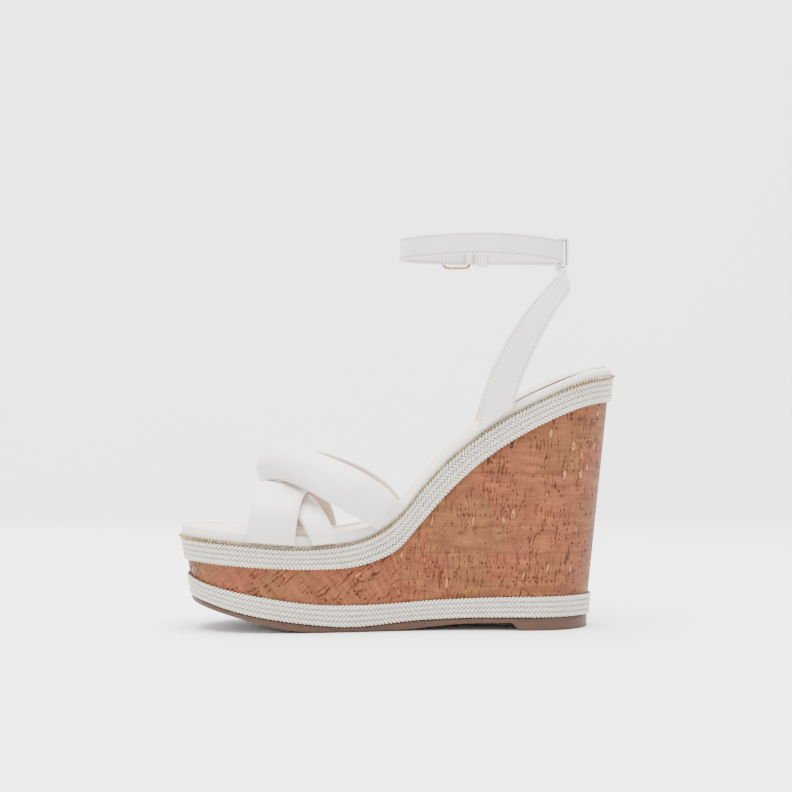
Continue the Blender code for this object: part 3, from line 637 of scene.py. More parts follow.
def make_outsole():
    """The frame's outsole, merged, with its upper and lower rims rounded."""
    bm = bmesh.new()
    bm.from_mesh(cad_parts["outsole"].data)
    bmesh.ops.remove_doubles(bm, verts=bm.verts, dist=WELD)
    rims = [e for e in bm.edges
            if {face_side(f) for f in e.link_faces} in ({"outer", "foot"}, {"outer", "top"})]
    bmesh.ops.bevel(bm, geom=rims, offset=RIM_ROUND, segments=2, profile=0.5, affect="EDGES",
                    material=-1)
    piece_from(bm, "outsole_tread", outsole_rubber, stands_for=("outsole",))


make_outsole()

# %% [markdown]
# ## Braids
# Two flat plaits of twisted cotton yarn are glued round the sole. In a flat plait each yarn runs
# at 45 degrees and turns under at every row, so what shows is rows of short plump stitches that
# slant one way and then the other. Winding every yarn over and under its neighbours would hide
# most of it, so only what shows is made: each stitch is a small stretched ball pressed into a
# backing band, which stands for the plait's own shaded underside. The yarn's colour has painted
# shade in it: it is darkest on the backing band and on the sunk half of each stitch.


# %% Yarn material
def yarn_material():
    """Off-white cotton with painted shade: darker where a stitch sinks in, darkest on the backing band."""
    mat, nodes, links, shader = new_material("braid_yarn", (0.74, 0.72, 0.67), 0.85)
    # depth reads lift, which drives the yarn's painted shade.
    depth = nodes.new("ShaderNodeAttribute")
    depth.attribute_name = "lift"
    points = object_points(nodes, links)
    fibres = pattern(nodes, links, "ShaderNodeTexNoise", points, Scale=2600.0, Detail=3.0)
    blotch = pattern(nodes, links, "ShaderNodeTexNoise", points, Scale=160.0, Detail=1.0)
    # Painted shade: dark brown where lift is 0, on the backing and the sunk half of each stitch, off-white
    # at a stitch's outermost point.
    tone = ramp(nodes, links, depth.outputs["Fac"],
                [(0.0, (0.15, 0.13, 0.10)), (0.42, (0.47, 0.435, 0.365)), (0.85, (0.63, 0.595, 0.515))])
    shade = ramp(nodes, links, fibres.outputs["Fac"], [(0.35, (0.82, 0.81, 0.79)), (0.6, (1.0, 1.0, 1.0))])
    tone = mix(nodes, links, 0.8, tone, shade, "MULTIPLY")
    worn = ramp(nodes, links, blotch.outputs["Fac"], [(0.35, (0.93, 0.925, 0.91)), (0.6, (1.0, 1.0, 1.0))])
    links.new(mix(nodes, links, 1.0, tone, worn, "MULTIPLY"), shader.inputs["Base Color"])
    bump(nodes, links, shader, fibres.outputs["Fac"], 0.0002, 0.6)
    shader.inputs["Sheen Weight"].default_value = 0.25
    shader.inputs["Specular IOR Level"].default_value = 0.25
    return mat


braid_yarn = yarn_material()
print("yarn:", braid_yarn.name)

# %% Stitches
CHUNK = 60                   # stitches are gathered this many at a time, which keeps every step quick
# lift sets the braid yarn's painted shade: 0 is painted darkest.
MID_LIFT = 0.2               # lift of a stitch's widest line. Its outermost point has 1


def stitch(centre, along, up, out, size):
    """Place of one plump stitch: size is its length, width and depth, along is how it points."""
    turn = Matrix((along, up, out)).transposed().to_4x4()
    scale = Matrix.Diagonal((size[0] / 2 * MM, size[1] / 2 * MM, size[2] / 2 * MM, 1))
    return Matrix.Translation(centre * MM) @ turn @ scale


def plant(bm, stitches):
    """Adds the stitches to a bmesh. Each vertex keeps how far it stands out, for the yarn's painted shade.
    """
    seed_bm = bmesh.new()
    bmesh.ops.create_uvsphere(seed_bm, u_segments=8, v_segments=5, radius=1.0)
    seed = bpy.data.meshes.new("seed")
    seed_bm.to_mesh(seed)
    seed_bm.free()
    count = len(seed.vertices)
    for start in range(0, len(stitches), CHUNK):
        chunk = bmesh.new()
        lift = chunk.verts.layers.float.new("lift")
        for place in stitches[start:start + CHUNK]:
            chunk.from_mesh(seed)
            chunk.verts.ensure_lookup_table()
            for vert in chunk.verts[-count:]:
                # The sunk half of each stitch gets lift 0, which the yarn material paints as dark shade.
                vert[lift] = max(MID_LIFT + (1 - MID_LIFT) * vert.co.z, 0.0)
                vert.co = place @ vert.co
        gathered = bpy.data.meshes.new("gathered")
        chunk.to_mesh(gathered)
        chunk.free()
        bm.from_mesh(gathered)
        bpy.data.meshes.remove(gathered)
    bpy.data.meshes.remove(seed)


# %% Plaits
PITCH = 2.05                 # millimetres along the edge from one stitch to the next
SLANT = 43                   # degrees that a stitch leans from the edge, give or take SLANT_PLAY
SLANT_PLAY = 5
PLUMP, PLUMP_PLAY = 1.3, 0.12                # millimetres that a stitch is thick
PRESSED = 0.55               # millimetres that a stitch's middle is pressed into the layer
BRAID_SEED = 7


def plait_backing(tops, feet, in_tops, in_feet):
    """The band behind the stitches, whose outer face is sunk between the layer's walls. It is painted
    darkest shade.
    """
    sections = []
    for index in range(len(tops) * 3):
        top, foot, in_top, in_foot = (at(loop, index / 3) for loop in (tops, feet, in_tops, in_feet))
        sections.append([in_foot, foot.lerp(in_foot, 0.45), top.lerp(in_top, 0.45), in_top])
    bm = sweep(sections, closed=True)
    # lift stays 0 on the backing, so the yarn material paints it in its darkest shade, as the shade under
    # the stitches.
    bm.verts.layers.float.new("lift")
    return bm


def row_spot(tops, feet, position, row, share):
    """Where a row's stitch goes, as a fractional index.

    Rows stay square to the edge, so a row's stitch slides back along a sloping edge. Every other
    row is half a stitch on.
    """
    spot = position
    for _ in range(2):
        step = at(tops, spot + 0.1) - at(tops, spot - 0.1)
        rise = at(tops, spot) - at(feet, spot)
        slide = rise.dot(step.normalized()) * (share - 0.5) - 0.5 * PITCH * (row % 2)
        spot = position - slide * 0.2 / step.length
    return spot


def edge_loop(tops, feet, position):
    """A small loop of yarn that shows along the plait's foot."""
    foot = at(feet, position)
    along = heading(feet, position)
    up = (at(tops, position) - foot).normalized()
    out = along.cross(up).normalized()
    return stitch(foot - out * 0.75 + up * 0.1, along, up, out, (PITCH * 0.9, PLUMP, PLUMP))


def make_plait(node, rows, raised, loops_below):
    """Rows of slanted stitches over a backing band. raised lifts the top row past the layer."""
    tops, feet, in_tops, in_feet = (loop_of(node, wall, end) for wall, end in
                                    (("outer", "top"), ("outer", "foot"),
                                     ("inner", "top"), ("inner", "foot")))
    bm = plait_backing(tops, feet, in_tops, in_feet)
    stitches = []
    rng = random.Random(BRAID_SEED)
    for position in even_positions(tops, PITCH)[0]:
        for row in range(rows):
            share = (row + 0.5) / rows
            spot = row_spot(tops, feet, position, row, share)
            top, foot = at(tops, spot), at(feet, spot)
            along = heading(tops, spot)
            out = along.cross(top - foot).normalized()
            up = out.cross(along)
            top += up * raised
            row_tall = (top - foot).dot(up) / rows
            lean = SLANT + rng.uniform(-SLANT_PLAY, SLANT_PLAY)
            slant = math.radians(lean) * (1 if row % 2 else -1)
            way = along * math.cos(slant) + up * math.sin(slant)
            size = (row_tall * 1.66, PITCH * 0.76, PLUMP + rng.uniform(-PLUMP_PLAY, PLUMP_PLAY))
            stitches.append(stitch(foot.lerp(top, share) - out * PRESSED, way, out.cross(way), out, size))
        if loops_below:
            stitches.append(edge_loop(tops, feet, position))
    plant(bm, stitches)
    print(node, "takes", len(stitches), "stitches")
    piece_from(bm, node + "_plait", braid_yarn, stands_for=(node,), crease=180)


make_plait("upper_braid", rows=4, raised=0.9, loops_below=True)
make_plait("lower_braid", rows=4, raised=0.2, loops_below=False)

# %% [markdown]
# ## Metal cord
# A champagne-gold cord is sewn along the top of the upper plait. It is two thin wires twisted
# together, so it shows as a row of slanting bright grains with dark gaps between them. Two real
# helices this thin would need far more faces, so each grain is one slanted stitch in gold.


# %% Gold material
def gold_material(name, rough):
    """Pale gold with a little haze. A higher rough makes it duller."""
    mat, nodes, links, shader = new_material(name, (0.78, 0.64, 0.42), rough, 1.0)
    haze = pattern(nodes, links, "ShaderNodeTexNoise", object_points(nodes, links), Scale=420.0, Detail=3.0)
    tone = ramp(nodes, links, haze.outputs["Fac"], [(0.3, (0.17, 0.10, 0.042)), (0.7, (0.42, 0.30, 0.155))])
    links.new(tone, shader.inputs["Base Color"])
    links.new(window(nodes, links, haze.outputs["Fac"], 0.3, 0.7, rough - 0.06, rough + 0.12),
              shader.inputs["Roughness"])
    bump(nodes, links, shader, haze.outputs["Fac"], 0.00008, 0.5)
    return mat


cord_gold = gold_material("cord_gold", 0.34)
print("gold:", cord_gold.name)

# %% Cord
CORD_OVER_BRAID = 1.2        # millimetres from the braid's top edge up to the cord's middle
CORD_SEARCH = 2.6            # the cord's own corners lie within this of its middle
GRAIN_PITCH = 1.9
GRAIN_SIZE = (2.5, 1.2, 2.2)
GRAIN_SLANT = math.radians(42)


def cord_path():
    """Middle of the cord at each station, from the frame's own cord."""
    corners = [v.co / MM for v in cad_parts["bead_trim"].data.vertices]
    path = []
    for spot in loop_of("upper_braid", "outer", "top"):
        near = [p for p in corners if (p - spot - UP * CORD_OVER_BRAID).length < CORD_SEARCH]
        path.append(sum(near, Vector()) / len(near))
    return path


def make_cord():
    """Slanted grains, evenly spaced along the cord's middle."""
    path = cord_path()
    stitches = []
    for position in even_positions(path, GRAIN_PITCH)[0]:
        along = heading(path, position)
        side = along.cross(UP).normalized()
        up = side.cross(along)
        way = along * math.cos(GRAIN_SLANT) + up * math.sin(GRAIN_SLANT)
        stitches.append(stitch(at(path, position), way, side.cross(way), side, GRAIN_SIZE))
    bm = bmesh.new()
    plant(bm, stitches)
    piece_from(bm, "bead_trim_cord", cord_gold, stands_for=("bead_trim",), crease=180)


make_cord()

# %% [markdown]
# ## White leather
# The rim and all the straps are smooth white leather with a fine pebble, and their linings and
# the sock are beige. One flat colour would look like plastic. So each leather drifts a little
# between its own colour and a warmer one, and a fine cell pattern gives it pores and pebble.


# %% Leather and lining materials
def leather_material(name, colour, warm, rough, pebble):
    """Leather that drifts from colour to warm. A higher pebble makes its grain finer."""
    mat, nodes, links, shader = new_material(name, colour, rough)
    points = object_points(nodes, links)
    pebbles = pattern(nodes, links, "ShaderNodeTexVoronoi", points, Scale=pebble)
    grain = pattern(nodes, links, "ShaderNodeTexNoise", points, Scale=pebble * 0.9, Detail=4.0)
    cloud = pattern(nodes, links, "ShaderNodeTexNoise", points, Scale=45.0, Detail=2.0)
    tone = ramp(nodes, links, cloud.outputs["Fac"], [(0.35, warm), (0.62, colour)])
    pores = ramp(nodes, links, pebbles.outputs["Distance"], [(0.0, (1, 1, 1)), (0.75, (0.96, 0.955, 0.95))])
    links.new(mix(nodes, links, 1.0, tone, pores, "MULTIPLY"), shader.inputs["Base Color"])
    height = maths(nodes, links, "ADD", maths(nodes, links, "MULTIPLY", grain.outputs["Fac"], 0.6),
                   maths(nodes, links, "MULTIPLY", pebbles.outputs["Distance"], -0.5))
    bump(nodes, links, shader, height, 0.00012, 0.5)
    links.new(window(nodes, links, cloud.outputs["Fac"], 0.3, 0.7, rough - 0.05, rough + 0.07),
              shader.inputs["Roughness"])
    return mat


white_leather = leather_material("white_leather", (0.66, 0.65, 0.62), (0.63, 0.615, 0.58), 0.46, 2400.0)
rim_leather = leather_material("rim_leather", (0.66, 0.64, 0.595), (0.62, 0.595, 0.54), 0.5, 2200.0)
beige_lining = leather_material("beige_lining", (0.56, 0.43, 0.335), (0.52, 0.385, 0.29), 0.55, 1900.0)
cream_lining = leather_material("cream_lining", (0.64, 0.60, 0.54), (0.60, 0.555, 0.49), 0.55, 1900.0)
sock_leather = leather_material("sock_leather", (0.69, 0.58, 0.49), (0.65, 0.53, 0.43), 0.5, 1700.0)
print("leathers:", [mat.name for mat in (white_leather, rim_leather, beige_lining, cream_lining,
                                        sock_leather)])

# %% [markdown]
# ## Rim and sock
# A strip of leather is rolled over the edge of the bed, and a padded sock lies inside it. Both
# could be the frame's solids with a bevel. The roll is fuller than a bevel though, and the sock
# crowns across its whole width, so each gets its own section, swept along the frame's loops.


# %% Rim binding
def make_rim():
    """The leather rim rolls over the edge of the bed, from the cord up and in to the sock."""
    loops = [loop_of("rim_binding", *pair) for pair in
             (("outer", "foot"), ("outer", "top"), ("inner", "top"), ("inner", "foot"))]
    sections = []
    for step in range(len(loops[0]) * 3):
        foot, top, in_top, in_foot = (at(loop, step / 3) for loop in loops)
        out, up = (top - in_top).normalized(), (top - foot).normalized()
        sections.append([foot, foot.lerp(top, 0.25) + out * 0.25, foot.lerp(top, 0.5) + out * 0.35,
                         foot.lerp(top, 0.72) + out * 0.22, foot.lerp(top, 0.9) - out * 0.15,
                         top - out * 0.75 + up * 0.05, top.lerp(in_top, 0.5) + up * 0.1,
                         in_top + out * 0.6 - up * 0.05, in_top - up * 0.5,
                         in_top.lerp(in_foot, 0.5), in_foot])
    bm = sweep(sections, closed=True)
    piece_from(bm, "rim_binding_leather", rim_leather, stands_for=("rim_binding",), crease=70)


make_rim()


# %% Sock lining
SOCK_STATIONS = 120
SOCK_FILL = 0.25             # millimetres that the sock fills out to the rim, to close the gap
SOCK_CROWN = 0.3             # millimetres that its middle stands up, where it is SOCK_WIDE or more
SOCK_WIDE = 40
EDGE_DROP, EDGE_RUN = 0.5, 1.2               # its edge rolls down this far over this width


def make_sock():
    """The padded insole: it fills out to the rim, crowns a little across and stands
    above the rim at the heel."""
    tops, feet = loop_of("sock_lining", "outer", "top"), loop_of("sock_lining", "outer", "foot")
    count = len(tops)
    sections = []
    for step in range(1, SOCK_STATIONS + 1):
        # The stations crowd towards the toe and the heel, where the outline turns quickly.
        position = count / 2 * (1 - math.cos(math.pi * step / (SOCK_STATIONS + 1))) / 2
        near, far = at(tops, position), at(tops, count - position)
        low_near, low_far = at(feet, position), at(feet, count - position)
        outward = (near - far).normalized() * SOCK_FILL
        near, low_near, far, low_far = (near + outward, low_near + outward,
                                        far - outward, low_far - outward)
        width = (far - near).length
        swell = min(width / SOCK_WIDE, 1.0) * SOCK_CROWN
        row = [low_near, near.lerp(low_near, 0.45)]
        for cross in (0.008, 0.03, 0.08, 0.16, 0.28, 0.42, 0.58, 0.72, 0.84, 0.92, 0.97, 0.992):
            inset = min(cross, 1 - cross) * width
            crown = swell * (4 * cross * (1 - cross)) - EDGE_DROP * max(1 - inset / EDGE_RUN, 0) ** 2
            row.append(near.lerp(far, cross) + UP * crown)
        row += [far.lerp(low_far, 0.45), low_far]
        sections.append(row)
    bm = sweep(sections)
    sock = piece_from(bm, "sock_lining_pad", sock_leather,
                      stands_for=("sock_lining", "footbed_foam"), crease=50)


make_sock()

# %% [markdown]
# ## Toe straps
# Two padded straps cross over the toes, each wide at its front leg. They start in the seam
# between the rim and the cord. A third band goes over the crossing and rolls forward in front
# like a soft knot. Each is foam between a beige lining and a white cover, sewn at the edges. A
# cloth simulation would puff them up, but they are thin, and their edges have to stay where the
# frame has them. So each strap runs between two edge curves with a padded section, and smooth
# noise gives it the soft folds that a simulation would.


# %% Strap curves
def smooth(points, x):
    """Value at x of the smooth curve through points (x, value)."""
    last = len(points) - 1
    if x <= points[0][0]:
        return points[0][1]
    if x >= points[last][0]:
        return points[last][1]
    index = max(i for i in range(last) if points[i][0] <= x)
    (x1, y1), (x2, y2) = points[index], points[index + 1]
    x0, y0 = points[max(index - 1, 0)]
    x3, y3 = points[min(index + 2, last)]
    span = x2 - x1
    slope1, slope2 = (y2 - y0) / (x2 - x0), (y3 - y1) / (x3 - x1)
    t = (x - x1) / span
    return ((2 * t**3 - 3 * t**2 + 1) * y1 + (t**3 - 2 * t**2 + t) * span * slope1
            + (3 * t**2 - 2 * t**3) * y2 + (t**3 - t**2) * span * slope2)


def curve_through(points, count):
    """Evenly numbered points of a smooth curve through given points."""
    tracks = [[(index, point[axis]) for index, point in enumerate(points)] for axis in range(3)]
    last = len(points) - 1
    steps = [last * index / (count - 1) for index in range(count)]
    return [Vector([smooth(track, step) for track in tracks]) for step in steps]


half_rim = len(rim_outer_foot) // 2
near_edge = sorted((p.x, p) for p in rim_outer_foot[:half_rim + 1])
far_edge = sorted((p.x, p) for p in rim_outer_foot[half_rim:] + rim_outer_foot[:1])
SIDES = [[[(x, p[axis]) for x, p in edge] for axis in (1, 2)] for edge in (near_edge, far_edge)]
SEAM_OUT = 1.3               # millimetres: a strap's lining lies this far outside the rim
SEAM_UP = 2.3                # and starts this far above the rim's foot
SHOULDER_AT, SHOULDER_SPREAD = 0.40, 0.13    # shares of an arch's run
ARCH_STATIONS = 61


def seam(x):
    """Y of the strap seam on the near and far sides at x, and its height."""
    (near_y, near_z), (far_y, _) = SIDES
    return smooth(near_y, x) - SEAM_OUT, smooth(far_y, x) + SEAM_OUT, smooth(near_z, x) + SEAM_UP


def arch_edge(near_x, middle_x, far_x, crown, square, shoulder=0.0):
    """One edge of a toe strap: an arch over the foot from the near seam to the far one.

    crown is its height in the middle, and a smaller square makes the arch squarer. shoulder
    raises its near half, where the strap is drawn up into the knot.
    """
    points = []
    for step in range(ARCH_STATIONS):
        s = step / (ARCH_STATIONS - 1)
        x = smooth([(0, near_x), (0.5, middle_x), (1, far_x)], s)
        near_y, far_y, base = seam(x)
        across = -math.copysign(abs(math.cos(math.pi * s)) ** square, math.cos(math.pi * s))
        rise = max(math.sin(math.pi * s), 0.0) ** square
        y = (near_y + far_y) / 2 + across * (far_y - near_y) / 2
        lift = shoulder * math.exp(-((s - SHOULDER_AT) / SHOULDER_SPREAD) ** 2)
        points.append(Vector((x, y, base + rise * (crown - base) + lift)))
    return points


def over_foot(half):
    """Edge points of the knot band, from each one's x, share of the way out, and height.

    half is the near half, from its seam up to the middle. The far half mirrors it.
    """
    near, far = [], []
    for x, share, z in half:
        near_y, far_y, _ = seam(x)
        centre = (near_y + far_y) / 2
        near.append((x, centre + (near_y - centre) * share, z))
        far.append((x, centre + (far_y - centre) * share, z))
    return near + far[-2::-1]


HUB_DEPTH = 30               # millimetres: a strap faces away from a point this far under its hub


def strap_rows(front, rear, profile):
    """Closed sections of a strap between two edge curves.

    profile(t) lists (share across, millimetres beyond it, lift off the strap's inner face).
    """
    rows = []
    last = len(front) - 1
    hub = sum(front + rear, Vector()) / (2 * len(front))
    for index in range(last + 1):
        fore, back = front[index], rear[index]
        before, after = max(index - 1, 0), min(index + 1, last)
        along = (front[after] + rear[after]) - (front[before] + rear[before])
        normal = along.cross(back - fore).normalized()
        if normal.dot((fore + back) / 2 - hub + UP * HUB_DEPTH) < 0:
            normal.negate()
        across = (back - fore).normalized()
        rows.append([fore.lerp(back, share) + across * beyond + normal * lift
                     for share, beyond, lift in profile(index / last)])
    return rows


print("the straps' seams at the knot, x -20:", [round(value, 1) for value in seam(-20)])


# %% Padded sections
COVER_LOW, COVER_HIGH = 0.95, 2.9            # millimetres: the cover's faces, off the lining's face
KNOT_SPREAD = 0.42           # share of the band's half run that the roll in its middle takes
END_RUN = 0.05               # share of a strap's run over which its end thins


def folds(share, t, seed, strength):
    """Height of the soft creases that run along a strap, from two sizes of smooth noise."""
    wave = noise.noise(Vector((share * 5.5, t * 3.0, seed)))
    fine = noise.noise(Vector((share * 11.0, t * 6.0, seed + 9)))
    return strength * (wave + 0.35 * fine)


def cushion_profile(puff, roll, seed, strength):
    """A cover with plump rounded edges that wraps the foam and closes on the lining.

    puff is how far its crown stands up, and roll how much higher it stands in the middle of its
    run, towards its front edge. The folds fade out towards its edges and ends.
    """
    def profile(t):
        middle = math.exp(-((2 * t - 1) / KNOT_SPREAD) ** 2)
        ends = min(min(t, 1 - t) / END_RUN, 1.0)
        soft = ends * ends * (3 - 2 * ends)
        thin = 0.55 + 0.45 * soft
        lift = COVER_HIGH * thin
        edge = [(0, 0.9, COVER_LOW), (0, 0.1, COVER_LOW + 0.15), (0, -0.35, 1.45), (0, -0.42, 1.9),
                (0, -0.2, 2.4 * thin), (0, 0.35, 2.8 * thin)]
        row = list(edge)
        for step in range(1, 16):
            share = step / 16
            crown = (1 - abs(2 * share - 1) ** 2.4) ** 0.85
            knot = roll * middle * (1 - abs(2 * share ** 0.8 - 1) ** 2.6) ** 0.75
            row.append((share, 0, lift + knot
                        + soft * crown * (puff + folds(share, t, seed, strength))))
        row += [(1, -beyond, height) for _, beyond, height in edge[::-1]]
        row += [(share, 0, COVER_LOW) for share in (0.75, 0.5, 0.25)]
        return row
    return profile


def lining_profile(t):
    """A thin flat lining with a rounded edge. It is the same all along, whatever t is."""
    return ([(0, 0.25, 0.1), (0, 0.0, 0.45), (0, 0.25, 0.8)] + [(s, 0, 0.8) for s in (0.25, 0.5, 0.75)]
            + [(1, -0.25, 0.8), (1, 0.0, 0.45), (1, -0.25, 0.1)] + [(s, 0, 0.0) for s in (0.75, 0.5, 0.25)])


# %% Padded straps
def make_padded_strap(name, front, rear, puff, seed, strength, roll=0.0):
    """A padded cover and its lining, between a front edge and a rear one."""
    cover = sweep(strap_rows(front, rear, cushion_profile(puff, roll, seed, strength)))
    obj = piece_from(cover, name + "_pad", white_leather,
                     stands_for=(name + "_cover", name + "_foam"), crease=180)
    lining = sweep(strap_rows(front, rear, lining_profile))
    backing = piece_from(lining, name + "_backing", beige_lining, stands_for=(name + "_lining",),
                         crease=60)


make_padded_strap("toe_strap_under", arch_edge(-43.5, -63, -77, 66.5, 0.80),
                  arch_edge(-31, -46, -53, 66.5, 0.80), 0.9, 3.1, 0.5)
make_padded_strap("toe_strap_over", arch_edge(-77, -69, -46, 71.6, 0.60, 4.0),
                  arch_edge(-53, -46, -33.5, 71.6, 0.60), 0.9, 5.7, 0.5)
make_padded_strap(
    "knot_band",
    curve_through(over_foot([(-10, 1.0, 53.2), (-21, 1.0, 59.8), (-36, 0.92, 67.6), (-48, 0.73, 73.8),
                             (-60, 0.50, 77.6), (-69, 0.26, 76.8), (-72, 0.0, 75.6)]), 81),
    curve_through(over_foot([(3.0, 1.0, 63.6), (-5, 0.97, 73.2), (-16, 0.87, 80.6), (-28, 0.66, 86.2),
                             (-39, 0.44, 90.0), (-46.5, 0.21, 91.8), (-49, 0.0, 92.0)]), 81),
    3.0, 8.3, 0.8, roll=7.5)

# %% [markdown]
# ## Heel strap
# One flat strap leaves the seam beside the heel, leans back behind the ankle and comes down the
# other side. It is sewn all along, just inside both edges. A row of stitches could be a bumped
# line, but threads catch the light one by one, so every stitch is a small piece of thread. Its
# pieces ride on no body: their places are baked into their meshes.


# %% Thread material
def thread_material():
    """Grey-white thread, a little darker than the leather that it sinks into."""
    mat, nodes, links, shader = new_material("stitch_thread", (0.30, 0.285, 0.26), 0.7)
    fibres = pattern(nodes, links, "ShaderNodeTexNoise", object_points(nodes, links), Scale=3800.0)
    tone = ramp(nodes, links, fibres.outputs["Fac"],
                [(0.3, (0.13, 0.12, 0.105)), (0.7, (0.20, 0.185, 0.165))])
    links.new(tone, shader.inputs["Base Color"])
    bump(nodes, links, shader, fibres.outputs["Fac"], 0.0001, 0.6)
    return mat


stitch_thread = thread_material()
print("thread:", stitch_thread.name)

# %% Stitch rows and flat straps
THREAD_PITCH = 2.2           # millimetres from stitch to stitch
THREAD_SIZE = (1.5, 0.42, 0.42)


def thread_row(path, normals):
    """Stitches laid along an open path of points, each sunk halfway into the leather."""
    lengths = [0.0]
    for first, second in zip(path, path[1:]):
        lengths.append(lengths[-1] + (second - first).length)
    goal, index, stitches = THREAD_PITCH / 2, 0, []
    while goal < lengths[-1]:
        while lengths[index + 1] < goal:
            index += 1
        share = (goal - lengths[index]) / (lengths[index + 1] - lengths[index])
        spot = path[index].lerp(path[index + 1], share)
        out = normals[index].lerp(normals[index + 1], share).normalized()
        along = (path[index + 1] - path[index]).normalized()
        up = out.cross(along).normalized()
        along = up.cross(out)
        stitches.append(stitch(spot, along, up, out, THREAD_SIZE))
        goal += THREAD_PITCH
    return stitches


def flat_profile(low, high, edge=0.38):
    """A flat strap with rolled edges, from low to high off its inner face."""
    middle = (low + high) / 2

    def profile(t):
        row = [(0, edge, low), (0, edge * 0.3, low + edge * 0.3), (0, 0.0, middle),
               (0, edge * 0.3, high - edge * 0.3), (0, edge, high)]
        back = [(1, -beyond, height) for _, beyond, height in row[::-1]]
        top = [(s, 0, high + 0.18 * (1 - (2 * s - 1) ** 2)) for s in (0.12, 0.3, 0.5, 0.7, 0.88)]
        return row + top + back + [(s, 0, low) for s in (0.75, 0.5, 0.25)]
    return profile


# %% Heel strap edges
FAR_LEG_BACK = 2.2           # millimetres that the far leg stands further back than the near one
FAR_LEG_RUN = 20             # and the height above its foot over which it gets there


def heel_strap_edges():
    """Front and rear edges, from the near foot up round the back of the ankle and down."""
    fore = [(41, -29.4, 103.4), (45.2, -29.8, 124), (51.8, -29.4, 142), (62.8, -28.4, 161),
            (74, -25.5, 176), (82.6, -18.5, 185.4), (86.8, -9, 189.2), (88, 0, 190)]
    back = [(60, -29.8, 116.4), (64, -30.2, 128), (68.4, -29.8, 139), (75.6, -28.4, 154),
            (82.6, -25, 166.4), (88, -17, 174.6), (90.2, -8, 177.6), (90.6, 0, 178.2)]
    for edge in (fore, back):
        foot = edge[0][2]
        for x, y, z in edge[-2::-1]:
            grown = min((z - foot) / FAR_LEG_RUN, 1.0) * min(-y / 20, 1.0)
            edge.append((x + FAR_LEG_BACK * grown, -y, z))
    return curve_through(fore, 121), curve_through(back, 121)


# %% Heel strap
LINING_HIGH = 0.95           # millimetres: the lining's face, off the strap's inner face
LEATHER_LOW, LEATHER_HIGH = 1.15, 2.25
SEWN_IN = 1.35               # the thread runs this far inside each edge
SEWN_LIFT = 2.31             # with its middle this far off the strap's inner face


def make_heel_strap():
    """Leather, lining and two rows of thread, left on no body with their places baked in."""
    front, rear = heel_strap_edges()
    leather = sweep(strap_rows(front, rear, flat_profile(LEATHER_LOW, LEATHER_HIGH)))
    strap = piece_from(leather, "heel_strap_leather", white_leather, body=None,
                       stands_for=("heel_strap",), crease=60)
    lining = sweep(strap_rows(front, rear, flat_profile(0.0, LINING_HIGH, 0.3)))
    backing = piece_from(lining, "heel_strap_backing", cream_lining, body=None,
                         stands_for=("heel_strap_lining",), crease=60)
    rows = strap_rows(front, rear, lambda t: [(0, SEWN_IN, SEWN_LIFT), (1, -SEWN_IN, SEWN_LIFT),
                                              (0, SEWN_IN, SEWN_LIFT + 1)])
    outs = [raised - fore for fore, _, raised in rows]
    stitches = []
    for side in (0, 1):
        stitches += thread_row([row[side] for row in rows][2:-2], outs[2:-2])
    bm = bmesh.new()
    plant(bm, stitches)
    sewing = piece_from(bm, "heel_strap_stitches", stitch_thread, body=None, crease=180)
    for obj in (strap, backing, sewing):
        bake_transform(obj)


make_heel_strap()

# %% [markdown]
# ## Back loop and ankle strap
# A folded loop at the back of the heel strap holds the ankle strap, which can slide in it. The
# ankle strap goes round the leg, through the buckle and back under a leather keeper. The loop and
# the keeper are small blocks with a slot, which the frame already has, so a copy with rounded
# edges is enough. The strap is one long strip, so it is swept along a squared oval.


# %% Back loop
def rounded_copy(node, body, bevel):
    """A leather copy of a frame solid with its sharp edges rounded."""
    bm = bmesh.new()
    bm.from_mesh(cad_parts[node].data)
    bmesh.ops.remove_doubles(bm, verts=bm.verts, dist=WELD)
    bmesh.ops.dissolve_limit(bm, angle_limit=math.radians(2), verts=bm.verts, edges=bm.edges)
    sharp = [e for e in bm.edges if len(e.link_faces) == 2 and e.calc_face_angle() > math.radians(38)]
    bmesh.ops.bevel(bm, geom=sharp, offset=bevel, segments=3, profile=0.5, affect="EDGES", material=-1,
                    clamp_overlap=True)
    bmesh.ops.triangulate(bm, faces=[f for f in bm.faces if len(f.verts) > 4])
    piece_from(bm, node + "_leather", white_leather, body=body, stands_for=(node,), crease=50)


rounded_copy("back_loop", "heel_strap", bevel=0.00035)


# %% Ankle strap
ANKLE = Vector((45.3, 0, 200.6))             # millimetres: middle of the oval, at the strap's height
BAR = Vector((40.0, 28.2, 200.6))            # the buckle's rear bar
LEG_LONG, LEG_WIDE = 42.9, 28.3              # the oval's half length and half width
SQUARED = 2.3                                # 2 would be a plain ellipse
NEAR_RISE, REAR_DROP = 1.6, 1.6              # the strap rides up at the near side, and sags at the back
STRAP_HALF = 0.9                             # half its thickness
HALF_TALL = 6.0
BAR_WRAP = 1.75                              # from the bar's middle to the middle of the fold round it


def ankle_point(angle, lift=0.0):
    """Centre line of the strap in plan: a squared oval round the leg."""
    cosine, sine = math.cos(angle), math.sin(angle)
    power = 2 / SQUARED
    x = (LEG_LONG + lift) * math.copysign(abs(cosine) ** power, cosine)
    y = (LEG_WIDE + lift) * math.copysign(abs(sine) ** power, sine)
    from_middle = min(abs(x) / LEG_LONG, 1.0) ** 2
    rise = NEAR_RISE * max(-y / LEG_WIDE, 0.0) * (1 - from_middle)
    drop = REAR_DROP * from_middle if x > 0 else 0.0
    return ANKLE + Vector((x, y, rise - drop))


